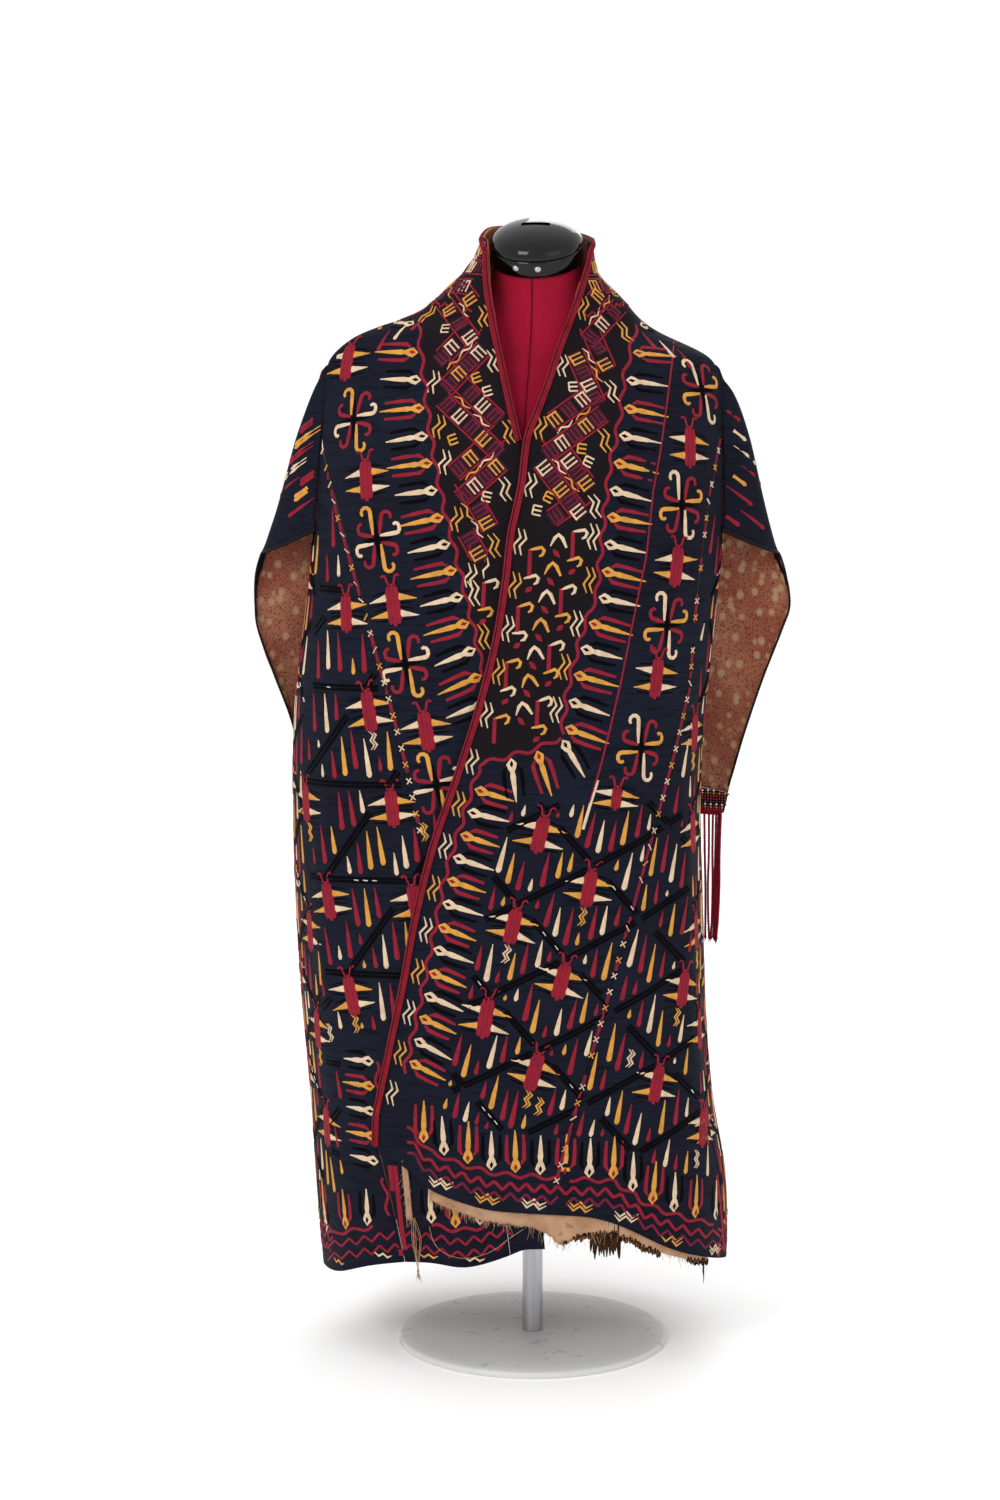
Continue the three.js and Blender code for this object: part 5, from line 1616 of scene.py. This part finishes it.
def strand_lines(name):
    """The middle line of each strand of a tassel in the frame, from below its head down."""
    mesh = bmesh.new()
    mesh.from_mesh(nodes[name].data)
    bmesh.ops.remove_doubles(mesh, verts=mesh.verts, dist=2e-5)
    bmesh.ops.delete(mesh, geom=[corner for corner in mesh.verts if corner.co.z > 0.605], context="VERTS")
    left, lines = set(mesh.verts), []
    for seed in list(mesh.verts):
        if seed not in left:
            continue
        left.discard(seed)
        waiting, strand = [seed], []
        while waiting:
            corner = waiting.pop()
            strand.append(corner.co.copy())
            beside = {edge.other_vert(corner) for edge in corner.link_edges} & left
            waiting += beside
            left -= beside
        strand.sort(key=lambda place: -place.z)
        lines.append([sum(strand[i:i + 4], Vector()) / 4 for i in range(0, len(strand), 4)])
    mesh.free()
    return sorted(lines, key=lambda line: line[0].x)


for side in ("left", "right"):
    name = f"tassel_{side}"
    low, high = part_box(name)
    tassel = Cords(f"silk_{name}", 5)
    lines = strand_lines(name)
    heads = []
    for line in lines:
        head = line[0] + (line[0] - line[1]) * ((high.z - 0.001 - line[0].z) / (line[0].z - line[1].z))
        heads.append(head)
        sway = Vector((random.uniform(-0.0012, 0.0012), random.uniform(-0.0012, 0.0012), 0))
        points = [head] + [place + sway * math.sin(1.3 * k) for k, place in enumerate(line)]
        points[-1] += Vector((0, 0, random.uniform(0.003, 0.009)))
        path = soft_path(points, 0.0012)
        start_turn = random.uniform(0, 6)
        for ply in (0, math.pi):
            twisted = []
            for i, place in enumerate(path):
                turn = ply + start_turn + i * 0.0012 / 0.0062 * 2 * math.pi
                twisted.append(place + Vector((math.cos(turn), math.sin(turn), 0)) * 0.00085)
            tassel.tube(twisted, [1.0] * (len(path) - 1) + [0.6])
        tip = path[-1]
        tassel.tube([tip + Vector((0, 0, 0.0025)), tip, tip - Vector((0, 0, 0.0025))], [1.3, 2.0, 1.1])
        for _ in range(4):
            tassel.tube(hanging(tip - Vector((0, 0, 0.002)), random.uniform(2, 4.5), 0.3, 2), [0.5, 0.4, 0.2])
    for k in range(4):
        ring = [Vector((head.x, head.y, high.z - 0.0016 - 0.0021 * k)) for head in heads]
        tassel.tube(soft_path(ring, 0.004), 1.9)
    tassel.made([TASSEL_RED], "tassel_silk", name)

# ---- Dress form ----
# The two halves of a padded torso under red cotton jersey, with a sewn seam down the middle.
jersey = Finish("red_jersey", roughness=0.8, Specular_IOR_Level=0.2)
knit = jersey.stripes(520, "Z", 1.0) * 0.6 + jersey.stripes(640, "X", 1.0) * 0.6
worn_red = jersey.blend(jersey.noise(9, 3).between(0.35, 0.7), rgb(176, 8, 50), rgb(152, 6, 42))
worn_red = jersey.blend(jersey.noise(160, 2).between(0.6, 0.75) * 0.4, worn_red, rgb(116, 10, 28))
RED_JERSEY = jersey.finish(worn_red, knit + jersey.noise(24, 3) * 1.5, depth=0.5)
for side in ("left", "right"):
    half = fine_copy(f"jersey_form_{side}", f"form_{side}", 2)
    half.data.materials.append(RED_JERSEY)
    show(half, "red_jersey", f"form_{side}")

# ---- Neck cap ----
# A glossy black moulded plastic band and dome, fixed with two steel rivets, with a keyway for a stand's bolt.
plastic = Finish("glossy_black_plastic", roughness=0.12, Specular_IOR_Level=0.22, Coat_Weight=0.15)
scuffs = plastic.noise(300, 3).between(0.55, 0.75)
BLACK_PLASTIC = plastic.finish(
    plastic.blend(scuffs * 0.2, rgb(5, 4, 5), rgb(26, 24, 26)), plastic.noise(40, 2),
    depth=0.1, roughness=0.1 + scuffs * 0.14,
)
steel = Finish("brushed_steel", roughness=0.32, Metallic=1.0)
BRUSHED_STEEL = steel.finish(
    steel.blend(steel.noise(200, 2, at=steel.stretched(1, 1, 0.05)), rgb(196, 196, 200), rgb(150, 150, 156)),
    steel.noise(400, 2, at=steel.stretched(1, 1, 0.04)), depth=0.1,
)
paint = Finish("base_paint", roughness=0.42)
chipped = paint.noise(60, 3).between(0.62, 0.68) * 0.35
aged = paint.blend(paint.noise(8, 3), rgb(204, 204, 202), rgb(188, 188, 186))
BASE_PAINT = paint.finish(paint.blend(chipped, aged, rgb(120, 118, 114)), paint.noise(500, 1), depth=0.08)
for name, slot, material, levels in (
    ("neck_band", "black_plastic", BLACK_PLASTIC, 1), ("neck_cap", "black_plastic", BLACK_PLASTIC, 1),
    ("rivet_1", "steel", BRUSHED_STEEL, 2), ("rivet_2", "steel", BRUSHED_STEEL, 2),
    ("stand_pole", "steel", BRUSHED_STEEL, 1), ("stand_base", "base_paint", BASE_PAINT, 1),
):
    piece = fine_copy(f"shown_{name}", name, levels)
    piece.data.materials.append(material)
    bpy.context.view_layer.objects.active = piece
    piece.select_set(True)
    bpy.ops.object.shade_smooth_by_angle(angle=math.radians(40))
    piece.select_set(False)
    show(piece, slot, name)

# ---- Floor and light ----
# A pale plain floor under an even studio sky, with two soft lamps in front and one behind.
bpy.ops.mesh.primitive_plane_add(size=200, location=(0, 0, -0.0005))
floor = bpy.context.object
floor.name = "floor"
paper = Finish("floor_paper", roughness=0.95, Specular_IOR_Level=0.0)
near_white = paper.blend(paper.noise(3, 2), rgb(253, 253, 253), rgb(255, 255, 255))
floor.data.materials.append(paper.finish(near_white))
for name, place, power, wide in (
    ("key", (-2.2, -3.2, 3.0), 62, 1.6),
    ("fill", (2.8, -3.4, 2.0), 16, 2.6),
    ("back", (0.8, 3.4, 3.0), 40, 2.0),
):
    lamp_data = bpy.data.lights.new(name, "AREA")
    lamp_data.energy = power
    lamp_data.size = wide
    lamp = bpy.data.objects.new(name, lamp_data)
    scene.collection.objects.link(lamp)
    lamp.location = place
    lamp.rotation_euler = (Vector((0, 0, 0.8)) - lamp.location).to_track_quat("-Z", "Y").to_euler()
world = bpy.data.worlds.new("studio")
scene.world = world
world.use_nodes = True
world.node_tree.nodes["Background"].inputs["Color"].default_value = (1, 1, 1, 1)
world.node_tree.nodes["Background"].inputs["Strength"].default_value = 1.04
scene.view_settings.view_transform = "Standard"
